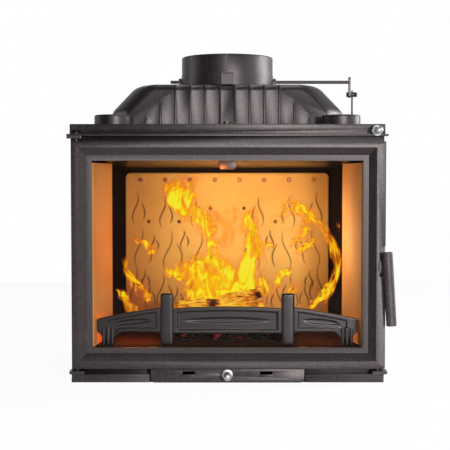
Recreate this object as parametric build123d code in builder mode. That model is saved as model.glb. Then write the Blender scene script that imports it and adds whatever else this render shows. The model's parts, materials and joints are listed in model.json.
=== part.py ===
from build123d import *
import math
import os

os.makedirs("parts", exist_ok=True)

# Cast-iron fireplace insert, millimetres. X to the right, Y to the back, Z up.
# The origin is on the middle of the base's underside. Depths are measured behind the door's face.

# ---- Carcass ----
door_face_y = -200.0
carcass_half_width = 315.0
carcass_height = 517.0
rear_wall_back = 394.0
plate_thickness = 6.0
base_thickness = 8.0
wall_thickness = 5.0
rear_wall_thickness = 8.0
frame_face_depth = 27.0
frame_thickness = 8.0
lip_thickness = 3.5
lip_overhang = 4.5
lip_front_depth = -2.0
flange_face_depth = 14.0
flange_height = 20.5

# ---- Linings and firebox ----
wall_front_inset = 37.0
wall_taper = 38.5
liner_thickness = 7.0
liner_rear_depth = 215.0
back_liner_thickness = 8.0
back_liner_below_window = 23.0
hearth_top = 67.0
hearth_thickness = 8.0
ledge_width = 9.0
lining_clearance = 1.0
wall_front_inner = carcass_half_width - wall_front_inset
wall_rear_inner = wall_front_inner - wall_taper

# ---- Door ----
door_left_inset = 4.0
door_top_inset = 35.0
door_bottom = 28.0
door_thickness = 22.0
stile_width = 44.0
top_rail_height = 38.0
bottom_rail_height = 41.0
inner_flat_width = 11.0
bevel_width = 15.0
bevel_depth = 10.0
retaining_lip = 4.0
glass_overlap = 9.0
glass_thickness = 4.0
gasket_thickness = 1.5
gasket_width = 8.0
glass_edge_clearance = 1.5
rope_diameter = 9.4
rope_inset = 22.0
rope_corner_radius = 20.0
rope_groove_depth = 5.0
door_left = door_left_inset - carcass_half_width
door_right = carcass_half_width
door_top = carcass_height - door_top_inset
window_half_width = carcass_half_width - stile_width
window_bottom = door_bottom + bottom_rail_height
window_top = door_top - top_rail_height
back_liner_top = window_top - back_liner_below_window

# ---- Door hinge ----
hinge_inset = 14.0
hinge_depth = 8.0
hinge_pin_diameter = 6.0
hinge_head_diameter = 10.0
hinge_head_height = 3.5
hinge_reach_into_door = 22.0
bracket_height = 5.0
bracket_inner_reach = 12.0
pad_height = 6.0
hinge_x = hinge_inset - carcass_half_width

# ---- Door handle and latch ----
latch_inset = 4.0
latch_z = 233.0
latch_shaft_diameter = 10.0
notch_width = 12.0
notch_below_latch = 21.0
notch_above_latch = 39.0
grip_diameter = 20.5
grip_length = 147.0
grip_tilt = 3.5
grip_depth = -16.0
grip_offset = 7.0
grip_below_latch = 43.5
hook_length = 28.0
hook_lean = 30.0
hook_tip_diameter = 9.0
hook_thickness = 6.0
latch_window_width = 23.5
latch_window_below = 35.0
latch_window_above = 43.0
keeper_thickness = 3.0
keeper_below_latch = 49.0
keeper_height = 60.0
latch_x = carcass_half_width - latch_inset
notch_edge_x = carcass_half_width - notch_width
notch_bottom = latch_z - notch_below_latch
notch_top = latch_z + notch_above_latch
latch_window_x = carcass_half_width - latch_window_width
latch_window_bottom = latch_z - latch_window_below
latch_window_top = latch_z + latch_window_above

# ---- Smoke dome and flue collar ----
dome_height = 88.0
dome_wall = 6.0
dome_front_margin = 13.0
dome_rear_margin = 16.0
dome_side_inset = 69.0
dome_ridge_inset = 54.0
dome_eave_height = 32.0
dome_face_inset = 38.0
dome_edge_radius = 14.0
dome_shoulder_run = 57.0
dome_ridge_radius = 40.0
dome_eave_radius = 20.0
dome_corner_power = 1.6
rib_spacing = 31.0
rib_thickness = 3.5
rib_height = 4.0
lug_width = 33.0
lug_reach = 15.0
lug_thickness = 5.0
flue_depth = 230.0
flue_outer_diameter = 198.0
collar_wall = 6.0
collar_height = 65.0
collar_shoulder = 1.0
collar_shoulder_height = 25.5
collar_lug_width = 26.0
collar_lug_height = 25.0
collar_lug_reach = 8.0
cap_diameter = 80.0
cap_height = 21.0
cap_side_inset = 82.0
cap_past_dome_face = 2.0
cap_wall = 5.0
cap_spigot_diameter = 64.0
dome_top = carcass_height + dome_height
collar_top = dome_top + collar_height
dome_front_depth = flue_depth - flue_outer_diameter / 2 - dome_front_margin
dome_rear_depth = flue_depth + flue_outer_diameter / 2 + dome_rear_margin
dome_half_width = carcass_half_width - dome_side_inset
dome_ridge_half_width = dome_half_width - dome_ridge_inset
cap_x = carcass_half_width - cap_side_inset
cap_depth = dome_front_depth + cap_past_dome_face - cap_diameter / 2

# ---- Flue damper ----
shaft_above_dome = 13.0
shaft_diameter = 7.0
shaft_left_reach = 25.0
blade_diameter = 168.0
blade_thickness = 4.0
blade_tilt = 36.0
crank_inset = 48.0
crank_thickness = 4.0
crank_width = 14.0
clamp_drop = 27.0
clamp_barrel_diameter = 10.0
clamp_stem_diameter = 6.0
lever_offset = 6.0
lever_diameter = 4.0
lever_below_pull = 29.4
shaft_z = dome_top + shaft_above_dome
shaft_left = -flue_outer_diameter / 2 - shaft_left_reach
crank_x = carcass_half_width - crank_inset
lever_x = crank_x + lever_offset

# ---- Pull rods and knobs ----
pull_side_inset = 19.0
pull_below_top = 13.6
rod_diameter = 6.0
knob_diameter = 16.6
knob_stand_off = 23.0
knob_neck_diameter = 10.0
knob_collar_diameter = 21.5
knob_collar_thickness = 3.5
knob_collar_chamfer = 0.8
fork_gap = 14.0
prong_thickness = 6.0
prong_tip_margin = 0.4
guide_depth = 95.0
guide_length = 6.0
pull_x = carcass_half_width - pull_side_inset
pull_z = carcass_height - pull_below_top
lever_bottom = pull_z - lever_below_pull
prong_tip_x = lever_x - prong_tip_margin

# ---- Air control ----
air_rod_z = 16.7
intake_half_width = 153.5
intake_thickness = 6.0
plinth_height = 17.0
plinth_face_depth = 2.0
plinth_thickness = 4.0
tab_x = 77.5
tab_width = 25.0
shutter_half_width = 58.0
shutter_depth = 55.0
shutter_length = 50.0
shutter_thickness = 3.0

# ---- Log guard ----
guard_end_gap = 5.0
guard_depth = 61.0
guard_bar_thickness = 12.0
guard_post_thickness = 20.0
guard_post_x = 124.0
guard_post_width = 27.0
guard_post_height = 106.0
guard_bar_height = 79.0
guard_bar_lift = 23.5
guard_end_height = 54.0
guard_half_length = window_half_width - guard_end_gap
guard_post_top = hearth_top + guard_post_height
guard_bar_top = hearth_top + guard_bar_height
guard_bar_bottom = hearth_top + guard_bar_lift
guard_end_top = hearth_top + guard_end_height

# ---- Fits ----
running_clearance = 0.06
seat_clearance = 0.05
sliding_gap = 0.3
cut_margin = 1.0

door_half_glass = window_half_width + glass_overlap
door_middle_z = (window_bottom + window_top) / 2
window_height = window_top - window_bottom
frame_back_depth = frame_face_depth + frame_thickness
header_bottom = carcass_height - flange_height - lip_thickness
rear_wall_face = rear_wall_back - rear_wall_thickness
plate_underside = carcass_height - plate_thickness
hearth_bottom = hearth_top - hearth_thickness
shaft_y = door_face_y + flue_depth


def at_depth(depth):
    """Y of the plane that lies this far behind the door's face."""
    return door_face_y + depth


def wall_inner(depth):
    """Half width between the side walls' inner faces, which taper towards the back."""
    run = (depth - frame_back_depth) / (rear_wall_face - frame_back_depth)
    return wall_front_inner + run * (wall_rear_inner - wall_front_inner)


def wall_outer(depth):
    return wall_inner(depth) + wall_thickness


def facing_front(depth):
    """A plane parallel to the door whose normal points out of the front."""
    return Plane.XZ.offset(-at_depth(depth))


def side_strip(side, near, far, inner, outer):
    """A plan outline beside one wall. inner and outer give the half width at a depth."""
    return Polygon(
        (side * inner(near), at_depth(near)),
        (side * outer(near), at_depth(near)),
        (side * outer(far), at_depth(far)),
        (side * inner(far), at_depth(far)),
        align=None,
    )


def plan_taper(near, far, half_width):
    """A plan outline across the carcass, as wide at each depth as half_width says."""
    return Polygon(
        (-half_width(near), at_depth(near)),
        (half_width(near), at_depth(near)),
        (half_width(far), at_depth(far)),
        (-half_width(far), at_depth(far)),
        align=None,
    )


# ======== Base ========
inlet_length = 100.0
inlet_width = 30.0
inlet_depth = shutter_depth + shutter_length / 2
rail_width = 6.0
rail_height = 6.0
rail_lip = 4.0
rail_length = 70.0
rail_front_gap = 2.0
base_side_inset = 2.0
rail_front_depth = frame_back_depth + rail_front_gap
ear_radius = 10.0
tie_rod_diameter = 8.0
tie_rod_depth = 350.0
tie_rod_gap = 2.5
tie_rod_x = wall_outer(tie_rod_depth) + tie_rod_gap + tie_rod_diameter / 2
base_front_depth = plinth_face_depth + plinth_thickness
base_front_half = carcass_half_width - base_side_inset

with BuildPart() as base_plate:
    with BuildSketch():
        plan_taper(base_front_depth, frame_back_depth, lambda depth: base_front_half)
        plan_taper(frame_back_depth, rear_wall_back, wall_outer)
        with Locations((-tie_rod_x, at_depth(tie_rod_depth)), (tie_rod_x, at_depth(tie_rod_depth))):
            Circle(ear_radius)
            Circle(tie_rod_diameter / 2 + seat_clearance, mode=Mode.SUBTRACT)
        with Locations((0, at_depth(inlet_depth))):
            SlotOverall(inlet_length, inlet_width, mode=Mode.SUBTRACT)
    extrude(amount=base_thickness)
    rail_inner = shutter_half_width + sliding_gap
    rail_top = base_thickness + rail_height
    for side in (-1, 1):
        with BuildSketch(facing_front(rail_front_depth + rail_length)):
            Polygon(
                (side * rail_inner, base_thickness),
                (side * (rail_inner + rail_width), base_thickness),
                (side * (rail_inner + rail_width), rail_top),
                (side * (rail_inner - rail_lip), rail_top),
                (side * (rail_inner - rail_lip), base_thickness + shutter_thickness + 2 * sliding_gap),
                (side * rail_inner, base_thickness + shutter_thickness + 2 * sliding_gap),
                align=None,
            )
        extrude(amount=rail_length)
base_plate.part.label = "base_plate"
export_step(base_plate.part, "parts/base_plate.step")

# ======== Plinth strips ========
strip_gap = 2.5
strip_top_lip = 3.0
strip_left_inset = 3.0
strip_ends = {
    "left": (strip_left_inset - carcass_half_width, -intake_half_width - strip_gap),
    "right": (intake_half_width + strip_gap, base_front_half),
}

for name, (start, stop) in strip_ends.items():
    with BuildPart() as plinth:
        with BuildSketch(Plane.YZ.offset(start)):
            Polygon(
                (at_depth(plinth_face_depth), 0),
                (at_depth(base_front_depth), 0),
                (at_depth(base_front_depth), plinth_height),
                (at_depth(plinth_face_depth - strip_top_lip), plinth_height),
                (at_depth(plinth_face_depth - strip_top_lip), plinth_height - strip_top_lip),
                (at_depth(plinth_face_depth), plinth_height - strip_top_lip),
                align=None,
            )
        extrude(amount=stop - start)
        fillet(plinth.edges().filter_by(Axis.X).group_by(Axis.Y)[0], radius=strip_top_lip / 4)
    plinth.part.label = f"plinth_{name}"
    export_step(plinth.part, f"parts/plinth_{name}.step")

# ======== Air intake cover ========
intake_top = door_bottom - cut_margin
intake_corner = 6.0
tab_slot_bottom = air_rod_z + sliding_gap
tab_slot_height = 5.5
tab_ledge_height = 4.5
tab_ledge_reach = 4.0

with BuildPart() as air_intake_cover:
    with BuildSketch(facing_front(intake_thickness)):
        with Locations((0, intake_top / 2)):
            Rectangle(2 * intake_half_width, intake_top)
    extrude(amount=intake_thickness)
    lower_corners = air_intake_cover.edges().filter_by(Axis.Y).group_by(Axis.Z)[0]
    chamfer(lower_corners, length=intake_corner)
    with BuildSketch(facing_front(0)):
        with Locations((-tab_x, tab_slot_bottom), (tab_x, tab_slot_bottom)):
            Rectangle(tab_width, tab_ledge_height, align=(Align.CENTER, Align.MAX))
    extrude(amount=tab_ledge_reach)
    with BuildSketch(facing_front(0)):
        with Locations((-tab_x, tab_slot_bottom), (tab_x, tab_slot_bottom)):
            Rectangle(tab_width, tab_slot_height, align=(Align.CENTER, Align.MIN))
        with Locations((0, air_rod_z)):
            Circle(rod_diameter / 2 + running_clearance)
    extrude(amount=-intake_thickness, mode=Mode.SUBTRACT)
air_intake_cover.part.label = "air_intake_cover"
export_step(air_intake_cover.part, "parts/air_intake_cover.step")

# ======== Side walls ========
boss_outer_x = carcass_half_width - 7.0
boss_x = carcass_half_width - 15.0
boss_height = 16.0
boss_length = 12.0
boss_levels = (100.0, 165.0, 310.0, carcass_height - 62.0)
frame_screw_diameter = 6.0
ledge_height = 8.0

for name, side in (("left", -1), ("right", 1)):
    with BuildPart() as side_wall:
        with BuildSketch(Plane.XY.offset(base_thickness)):
            side_strip(side, frame_back_depth, rear_wall_face, wall_inner, wall_outer)
        extrude(amount=plate_underside - base_thickness)
        with BuildSketch(Plane.XY.offset(hearth_bottom - ledge_height)):
            side_strip(
                side,
                frame_back_depth,
                rear_wall_face,
                lambda depth: wall_inner(depth) - ledge_width,
                wall_inner,
            )
        extrude(amount=ledge_height)
        for level in boss_levels:
            with BuildSketch(Plane.XY.offset(level - boss_height / 2)):
                side_strip(
                    side,
                    frame_back_depth,
                    frame_back_depth + boss_length,
                    wall_inner,
                    lambda depth: boss_outer_x,
                )
            extrude(amount=boss_height)
        with BuildSketch(facing_front(frame_back_depth)):
            with Locations([(side * boss_x, level) for level in boss_levels]):
                Circle(frame_screw_diameter / 2 + seat_clearance)
        extrude(amount=-boss_length, mode=Mode.SUBTRACT)
    side_wall.part.label = f"side_wall_{name}"
    export_step(side_wall.part, f"parts/side_wall_{name}.step")

# ======== Rear wall ========
with BuildPart() as rear_wall:
    with BuildSketch(Plane.XY.offset(base_thickness)):
        plan_taper(rear_wall_face, rear_wall_back, wall_outer)
    extrude(amount=plate_underside - base_thickness)
    with BuildSketch(Plane.XY.offset(hearth_bottom - ledge_height)):
        plan_taper(
            rear_wall_face - ledge_width,
            rear_wall_face,
            lambda depth: wall_inner(depth) - ledge_width - lining_clearance,
        )
    extrude(amount=ledge_height)
rear_wall.part.label = "rear_wall"
export_step(rear_wall.part, "parts/rear_wall.step")

# ======== Front frame and its screws ========
frame_opening_half = wall_front_inner
frame_opening_margin = 6.0
frame_opening_top = window_top + frame_opening_margin
frame_opening_bottom = hearth_bottom
air_gap_height = 16.0
air_gap_side_inset = 3.5
air_gap_top = base_thickness + air_gap_height
air_gap_half = intake_half_width - air_gap_side_inset
countersink_diameter = 11.0

with BuildPart() as front_frame:
    with BuildSketch(facing_front(frame_back_depth)):
        with Locations((0, base_thickness)):
            Rectangle(
                2 * carcass_half_width,
                header_bottom - base_thickness,
                align=(Align.CENTER, Align.MIN),
            )
        with Locations((0, frame_opening_bottom)):
            Rectangle(
                2 * frame_opening_half,
                frame_opening_top - frame_opening_bottom,
                align=(Align.CENTER, Align.MIN),
                mode=Mode.SUBTRACT,
            )
        with Locations((0, base_thickness)):
            Rectangle(
                2 * air_gap_half,
                air_gap_top - base_thickness,
                align=(Align.CENTER, Align.MIN),
                mode=Mode.SUBTRACT,
            )
        with Locations((latch_window_x, latch_window_bottom)):
            Rectangle(
                2 * (carcass_half_width - latch_window_x),
                latch_window_top - latch_window_bottom,
                align=(Align.MIN, Align.MIN),
                mode=Mode.SUBTRACT,
            )
    extrude(amount=frame_thickness)
    with Locations(Plane(origin=(0, at_depth(frame_face_depth), 0), x_dir=(1, 0, 0), z_dir=(0, -1, 0))):
        with Locations([(side * boss_x, level) for side in (-1, 1) for level in boss_levels]):
            CounterSinkHole(
                frame_screw_diameter / 2 + seat_clearance,
                countersink_diameter / 2,
                depth=frame_thickness,
            )
front_frame.part.label = "front_frame"
export_step(front_frame.part, "parts/front_frame.step")

screw_end_gap = 1.0
head_recess = 0.2
head_clearance = 0.3
frame_screw_points = [(side * boss_x, level) for side in (-1, 1) for level in boss_levels]
screw_head_length = countersink_diameter / 2 - frame_screw_diameter / 2 - seat_clearance

with BuildPart() as frame_screws:
    with BuildSketch(facing_front(frame_face_depth + screw_head_length)):
        with Locations(frame_screw_points):
            Circle(frame_screw_diameter / 2)
    extrude(amount=-(frame_thickness + boss_length - screw_head_length - screw_end_gap))
    for point in frame_screw_points:
        with BuildSketch(facing_front(frame_face_depth + head_recess)):
            with Locations(point):
                Circle(countersink_diameter / 2 - head_clearance)
        with BuildSketch(facing_front(frame_face_depth + screw_head_length)):
            with Locations(point):
                Circle(frame_screw_diameter / 2)
        loft()
frame_screws.part.label = "frame_screws"
export_step(frame_screws.part, "parts/frame_screws.step")

# ======== Header lip ========
with BuildPart() as header_lip:
    with BuildSketch(Plane.XY.offset(header_bottom)):
        plan_taper(lip_front_depth, frame_back_depth, lambda depth: carcass_half_width + lip_overhang)
        with Locations((hinge_x, at_depth(hinge_depth))):
            Circle(hinge_pin_diameter / 2 + seat_clearance, mode=Mode.SUBTRACT)
    extrude(amount=lip_thickness)
header_lip.part.label = "header_lip"
export_step(header_lip.part, "parts/header_lip.step")

# ======== Top plate ========
dome_opening_inset = 40.0
cap_hole_diameter = cap_spigot_diameter + 2 * sliding_gap
dome_bolt_diameter = 8.0
dome_bolt_setback = 8.0
rear_lug_x = 120.0
dome_bolt_points = [
    (0, at_depth(dome_front_depth - dome_bolt_setback)),
    (-rear_lug_x, at_depth(dome_rear_depth + dome_bolt_setback)),
    (rear_lug_x, at_depth(dome_rear_depth + dome_bolt_setback)),
]
dome_bolt_reach = 4.5

with BuildPart() as top_plate:
    with BuildSketch(Plane.XY.offset(plate_underside)):
        plan_taper(flange_face_depth, frame_back_depth, lambda depth: carcass_half_width)
        plan_taper(frame_back_depth, rear_wall_back, wall_outer)
        with Locations((-tie_rod_x, at_depth(tie_rod_depth)), (tie_rod_x, at_depth(tie_rod_depth))):
            Circle(ear_radius)
            Circle(tie_rod_diameter / 2 + seat_clearance, mode=Mode.SUBTRACT)
        with Locations((-cap_x, at_depth(cap_depth)), (cap_x, at_depth(cap_depth))):
            Circle(cap_hole_diameter / 2, mode=Mode.SUBTRACT)
        with Locations((0, at_depth((dome_front_depth + dome_rear_depth) / 2))):
            RectangleRounded(
                2 * (dome_half_width - dome_face_inset) - dome_opening_inset,
                dome_rear_depth - dome_front_depth - dome_opening_inset,
                radius=dome_opening_inset / 2,
                mode=Mode.SUBTRACT,
            )
        with Locations(dome_bolt_points):
            Circle(dome_bolt_diameter / 2 + seat_clearance, mode=Mode.SUBTRACT)
    extrude(amount=plate_thickness)
    with BuildSketch(facing_front(flange_face_depth)):
        with Locations((0, plate_underside)):
            Rectangle(
                2 * carcass_half_width,
                flange_height - plate_thickness,
                align=(Align.CENTER, Align.MAX),
            )
    extrude(amount=-plate_thickness)
    with BuildSketch(facing_front(flange_face_depth)):
        with Locations((pull_x, pull_z)):
            Circle(rod_diameter / 2 + running_clearance)
    extrude(amount=-plate_thickness, mode=Mode.SUBTRACT)
    top_front_edge = top_plate.edges().filter_by(Axis.X).group_by(Axis.Y)[0].sort_by(Axis.Z)[-1]
    fillet(top_front_edge, radius=plate_thickness / 4)
top_plate.part.label = "top_plate"
export_step(top_plate.part, "parts/top_plate.step")

# ======== Tie rods ========
rod_thread_above = 9.0
nut_height = 6.5
nut_flats = 13.0
rod_foot_gap = 0.5

with BuildPart() as tie_rods:
    with BuildSketch(Plane.XY.offset(rod_foot_gap)):
        with Locations((-tie_rod_x, at_depth(tie_rod_depth)), (tie_rod_x, at_depth(tie_rod_depth))):
            Circle(tie_rod_diameter / 2)
    extrude(amount=carcass_height + rod_thread_above - rod_foot_gap)
tie_rods.part.label = "tie_rods"
export_step(tie_rods.part, "parts/tie_rods.step")

with BuildPart() as tie_rod_nuts:
    with BuildSketch(Plane.XY.offset(carcass_height)):
        with Locations((-tie_rod_x, at_depth(tie_rod_depth)), (tie_rod_x, at_depth(tie_rod_depth))):
            RegularPolygon(nut_flats / 2, 6, major_radius=False)
            Circle(tie_rod_diameter / 2 + seat_clearance, mode=Mode.SUBTRACT)
    extrude(amount=nut_height)
tie_rod_nuts.part.label = "tie_rod_nuts"
export_step(tie_rod_nuts.part, "parts/tie_rod_nuts.step")

# ======== Smoke dome ========
flue_opening_margin = 4.5
flue_opening_diameter = flue_outer_diameter - 2 * (collar_wall + flue_opening_margin)
collar_screw_diameter = 5.0
collar_screw_circle = flue_outer_diameter - 2 * collar_wall
full_rib_reach = 3.6
rib_top_fade = 0.5
rib_shoulder_drop = 5.0
lug_root = 2.0
dome_runs = [dome_edge_radius * (1 - math.cos(math.radians(30 * step))) for step in range(4)]
dome_runs += [dome_shoulder_run * share for share in (0.5, 0.75, 1.0)]
dome_depths = [dome_front_depth + run for run in dome_runs]
dome_depths += [dome_rear_depth - run for run in reversed(dome_runs)]


def dome_outline(depth, shrink, foot):
    """The dome's cross-section: upright below the eaves, sloping up to a flat ridge.

    Near the front and the back the roof rounds down and the corners draw in.
    """
    run = min(depth - dome_front_depth, dome_rear_depth - depth)
    short_of_flat = max(0.0, dome_edge_radius - run)
    drop = dome_edge_radius - math.sqrt(dome_edge_radius**2 - short_of_flat**2)
    inset = dome_face_inset * max(0.0, 1 - run / dome_shoulder_run) ** dome_corner_power
    half_foot = dome_half_width - inset - shrink
    half_ridge = dome_ridge_half_width - inset + drop / 2 - shrink / 2
    eave = carcass_height + dome_eave_height - drop / 3 - shrink / 2
    ridge = dome_top - drop - shrink
    Polygon(
        (-half_foot, foot),
        (half_foot, foot),
        (half_foot, eave),
        (half_ridge, ridge),
        (-half_ridge, ridge),
        (-half_foot, eave),
        align=None,
    )


dome_middle = (dome_front_depth + dome_rear_depth) / 2
dome_half_length = (dome_rear_depth - dome_front_depth) / 2
cavity_scale = (dome_half_length - dome_wall) / dome_half_length

with BuildPart() as dome_cavity:
    for depth in dome_depths:
        with BuildSketch(facing_front(dome_middle + (depth - dome_middle) * cavity_scale)) as section:
            dome_outline(depth, dome_wall, carcass_height - cut_margin)
            fillet(section.vertices().group_by(Axis.Y)[-1], radius=dome_ridge_radius - dome_wall)
            fillet(section.vertices().group_by(Axis.Y)[1], radius=dome_eave_radius - dome_wall)
    loft(ruled=True)

with BuildPart() as smoke_dome:
    for depth in dome_depths:
        with BuildSketch(facing_front(depth)) as section:
            dome_outline(depth, 0.0, carcass_height)
            fillet(section.vertices().group_by(Axis.Y)[-1], radius=dome_ridge_radius)
            fillet(section.vertices().group_by(Axis.Y)[1], radius=dome_eave_radius)
    loft(ruled=True)
    add(dome_cavity.part, mode=Mode.SUBTRACT)
    # Upright ribs on the front face. The middle ones run up over the rounded edge of the roof
    # and the outer ones stop under the sloping shoulder.
    for step in range(-6, 6):
        rib_x = (step + 0.5) * rib_spacing
        beyond = abs(step + 0.5) - full_rib_reach
        rib_front = dome_front_depth - rib_height
        rib_back = dome_front_depth + dome_wall / 2
        rib_end = dome_front_depth + dome_edge_radius - lug_root
        with BuildSketch(Plane.YZ.offset(rib_x - rib_thickness / 2)):
            if beyond < 0:
                Polygon(
                    (at_depth(rib_front), carcass_height),
                    (at_depth(rib_back), carcass_height),
                    (at_depth(rib_back), dome_top - dome_edge_radius),
                    (at_depth(rib_end), dome_top - dome_wall / 2),
                    (at_depth(rib_end), dome_top - rib_top_fade),
                    (at_depth(dome_front_depth + dome_wall - 1.0), dome_top - rib_top_fade),
                    (at_depth(dome_front_depth - 1.0), dome_top - dome_edge_radius / 2),
                    (at_depth(rib_front), dome_top - dome_edge_radius - rib_height),
                    align=None,
                )
            else:
                rib_top = dome_top - rib_shoulder_drop - rib_spacing * beyond
                Polygon(
                    (at_depth(rib_front), carcass_height),
                    (at_depth(rib_back), carcass_height),
                    (at_depth(rib_back), rib_top),
                    (at_depth(dome_front_depth), rib_top),
                    (at_depth(rib_front), rib_top - 3 * rib_height),
                    align=None,
                )
        extrude(amount=rib_thickness)
    with BuildSketch(Plane.XY.offset(carcass_height)):
        with Locations((0, at_depth(dome_front_depth + lug_root))):
            Rectangle(lug_width, lug_reach + lug_root, align=(Align.CENTER, Align.MAX))
        with Locations(
            (-rear_lug_x, at_depth(dome_rear_depth - lug_root)),
            (rear_lug_x, at_depth(dome_rear_depth - lug_root)),
        ):
            Rectangle(lug_width, lug_reach + lug_root, align=(Align.CENTER, Align.MIN))
        with Locations(dome_bolt_points):
            Circle(dome_bolt_diameter / 2 + seat_clearance, mode=Mode.SUBTRACT)
    extrude(amount=lug_thickness)
    with BuildSketch(Plane.XY.offset(dome_top + cut_margin)):
        with Locations((0, shaft_y)):
            Circle(flue_opening_diameter / 2)
            with PolarLocations(collar_screw_circle / 2, 4, start_angle=45):
                Circle(collar_screw_diameter / 2 + seat_clearance)
    extrude(amount=-2 * dome_wall, mode=Mode.SUBTRACT)
smoke_dome.part.label = "smoke_dome"
export_step(smoke_dome.part, "parts/smoke_dome.step")

with BuildPart() as dome_bolts:
    with BuildSketch(Plane.XY.offset(plate_underside)):
        with Locations(dome_bolt_points):
            Circle(dome_bolt_diameter / 2)
    extrude(amount=plate_thickness + lug_thickness)
    with BuildSketch(Plane.XY.offset(carcass_height + lug_thickness)):
        with Locations(dome_bolt_points):
            RegularPolygon(nut_flats / 2, 6, major_radius=False)
    extrude(amount=dome_bolt_reach)
dome_bolts.part.label = "dome_bolts"
export_step(dome_bolts.part, "parts/dome_bolts.step")

# ======== Flue collar ========
screw_boss_diameter = 12.0
screw_boss_height = 8.0
screw_boss_roof = 2.0
pivot_boss_diameter = 16.0
pivot_boss_reach = 7.0
collar_rim_radius = 2.5
collar_inner_radius = flue_outer_diameter / 2 - collar_wall

with BuildPart() as flue_collar:
    with BuildSketch(Plane.XY.offset(dome_top)):
        with Locations((0, shaft_y)):
            Circle(flue_outer_diameter / 2)
            Circle(collar_inner_radius, mode=Mode.SUBTRACT)
    extrude(amount=collar_top - dome_top)
    fillet(flue_collar.edges().group_by(Axis.Z)[-1].sort_by(SortBy.LENGTH)[-1], radius=collar_rim_radius)
    # The flue pipe slides down over the collar and stops on this shoulder.
    with BuildSketch(Plane.XY.offset(dome_top)):
        with Locations((0, shaft_y)):
            Circle(flue_outer_diameter / 2 + collar_shoulder)
            Circle(collar_inner_radius, mode=Mode.SUBTRACT)
    extrude(amount=collar_shoulder_height)
    with BuildSketch(Plane.XY.offset(dome_top)):
        with Locations((0, shaft_y)):
            with PolarLocations(collar_screw_circle / 2, 4, start_angle=45):
                Circle(screw_boss_diameter / 2)
            Circle(collar_inner_radius + collar_wall / 2, mode=Mode.INTERSECT)
    extrude(amount=screw_boss_height)
    # Flat lugs at the front and the back, with a sloping top.
    for turn in (-1, 1):
        with BuildSketch(Plane.YZ.offset(-collar_lug_width / 2)):
            outer_y = shaft_y + turn * (flue_outer_diameter / 2 + collar_lug_reach)
            inner_y = shaft_y + turn * (flue_outer_diameter / 2 - collar_wall / 2)
            Polygon(
                (outer_y, dome_top),
                (outer_y, dome_top + collar_lug_height - collar_lug_reach / 2),
                (outer_y - turn * collar_lug_reach / 2, dome_top + collar_lug_height),
                (inner_y, dome_top + collar_lug_height),
                (inner_y, dome_top),
                align=None,
            )
        extrude(amount=collar_lug_width)
    for side in (-1, 1):
        with BuildSketch(Plane.YZ.offset(side * (flue_outer_diameter / 2 + pivot_boss_reach))):
            with Locations((shaft_y, shaft_z)):
                Circle(pivot_boss_diameter / 2)
            with Locations((shaft_y, dome_top)):
                Rectangle(
                    pivot_boss_diameter,
                    shaft_z - dome_top,
                    align=(Align.CENTER, Align.MIN),
                )
        extrude(amount=-side * (pivot_boss_reach + collar_wall / 2))
    with BuildSketch(Plane.YZ):
        with Locations((shaft_y, shaft_z)):
            Circle(shaft_diameter / 2 + running_clearance)
    extrude(amount=flue_outer_diameter, both=True, mode=Mode.SUBTRACT)
    with BuildSketch(Plane.XY.offset(dome_top)):
        with Locations((0, shaft_y)):
            with PolarLocations(collar_screw_circle / 2, 4, start_angle=45):
                Circle(collar_screw_diameter / 2 + seat_clearance)
    extrude(amount=screw_boss_height - screw_boss_roof, mode=Mode.SUBTRACT)
flue_collar.part.label = "flue_collar"
export_step(flue_collar.part, "parts/flue_collar.step")

collar_screw_head = 8.0
collar_screw_head_height = 4.0
roof_underside = dome_top - dome_wall

with BuildPart() as collar_screws:
    with BuildSketch(Plane.XY.offset(roof_underside)):
        with Locations((0, shaft_y)):
            with PolarLocations(collar_screw_circle / 2, 4, start_angle=45):
                Circle(collar_screw_diameter / 2)
    extrude(amount=dome_wall + screw_boss_height - screw_boss_roof - screw_end_gap)
    with BuildSketch(Plane.XY.offset(roof_underside)):
        with Locations((0, shaft_y)):
            with PolarLocations(collar_screw_circle / 2, 4, start_angle=45):
                RegularPolygon(collar_screw_head / 2, 6, major_radius=False)
    extrude(amount=-collar_screw_head_height)
collar_screws.part.label = "collar_screws"
export_step(collar_screws.part, "parts/collar_screws.step")

# ======== Blanking caps ========
cap_edge_radius = 4.0
spigot_depth = 12.0

for name, side in (("left", -1), ("right", 1)):
    with BuildPart() as cap:
        with BuildSketch(Plane.XY.offset(carcass_height)):
            with Locations((side * cap_x, at_depth(cap_depth))):
                Circle(cap_diameter / 2)
        extrude(amount=cap_height)
        fillet(cap.edges().group_by(Axis.Z)[-1], radius=cap_edge_radius)
        with BuildSketch(Plane.XY.offset(carcass_height - spigot_depth)):
            with Locations((side * cap_x, at_depth(cap_depth))):
                Circle(cap_spigot_diameter / 2)
        extrude(amount=spigot_depth)
        with BuildSketch(Plane.XY.offset(carcass_height - spigot_depth)):
            with Locations((side * cap_x, at_depth(cap_depth))):
                Circle(cap_spigot_diameter / 2 - cap_wall)
        extrude(amount=spigot_depth + cap_height - cap_wall, mode=Mode.SUBTRACT)
    cap.part.label = f"cap_{name}"
    export_step(cap.part, f"parts/cap_{name}.step")

# ======== Hearth plate, grate and ash pan ========
grate_width = 260.0
grate_length = 200.0
pan_behind_shutter = 19.0
pan_clearance = 6.0
grate_thickness = 8.0
grate_ledge = 8.0
grate_clearance = 1.0
grate_seat_depth = 4.0
grate_depth = (
    shutter_depth + shutter_length + pan_behind_shutter + grate_length / 2 - grate_ledge - pan_clearance
)
bar_pitch = 16.0
bar_slot_width = 8.0
bar_slot_length = 82.0

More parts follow.
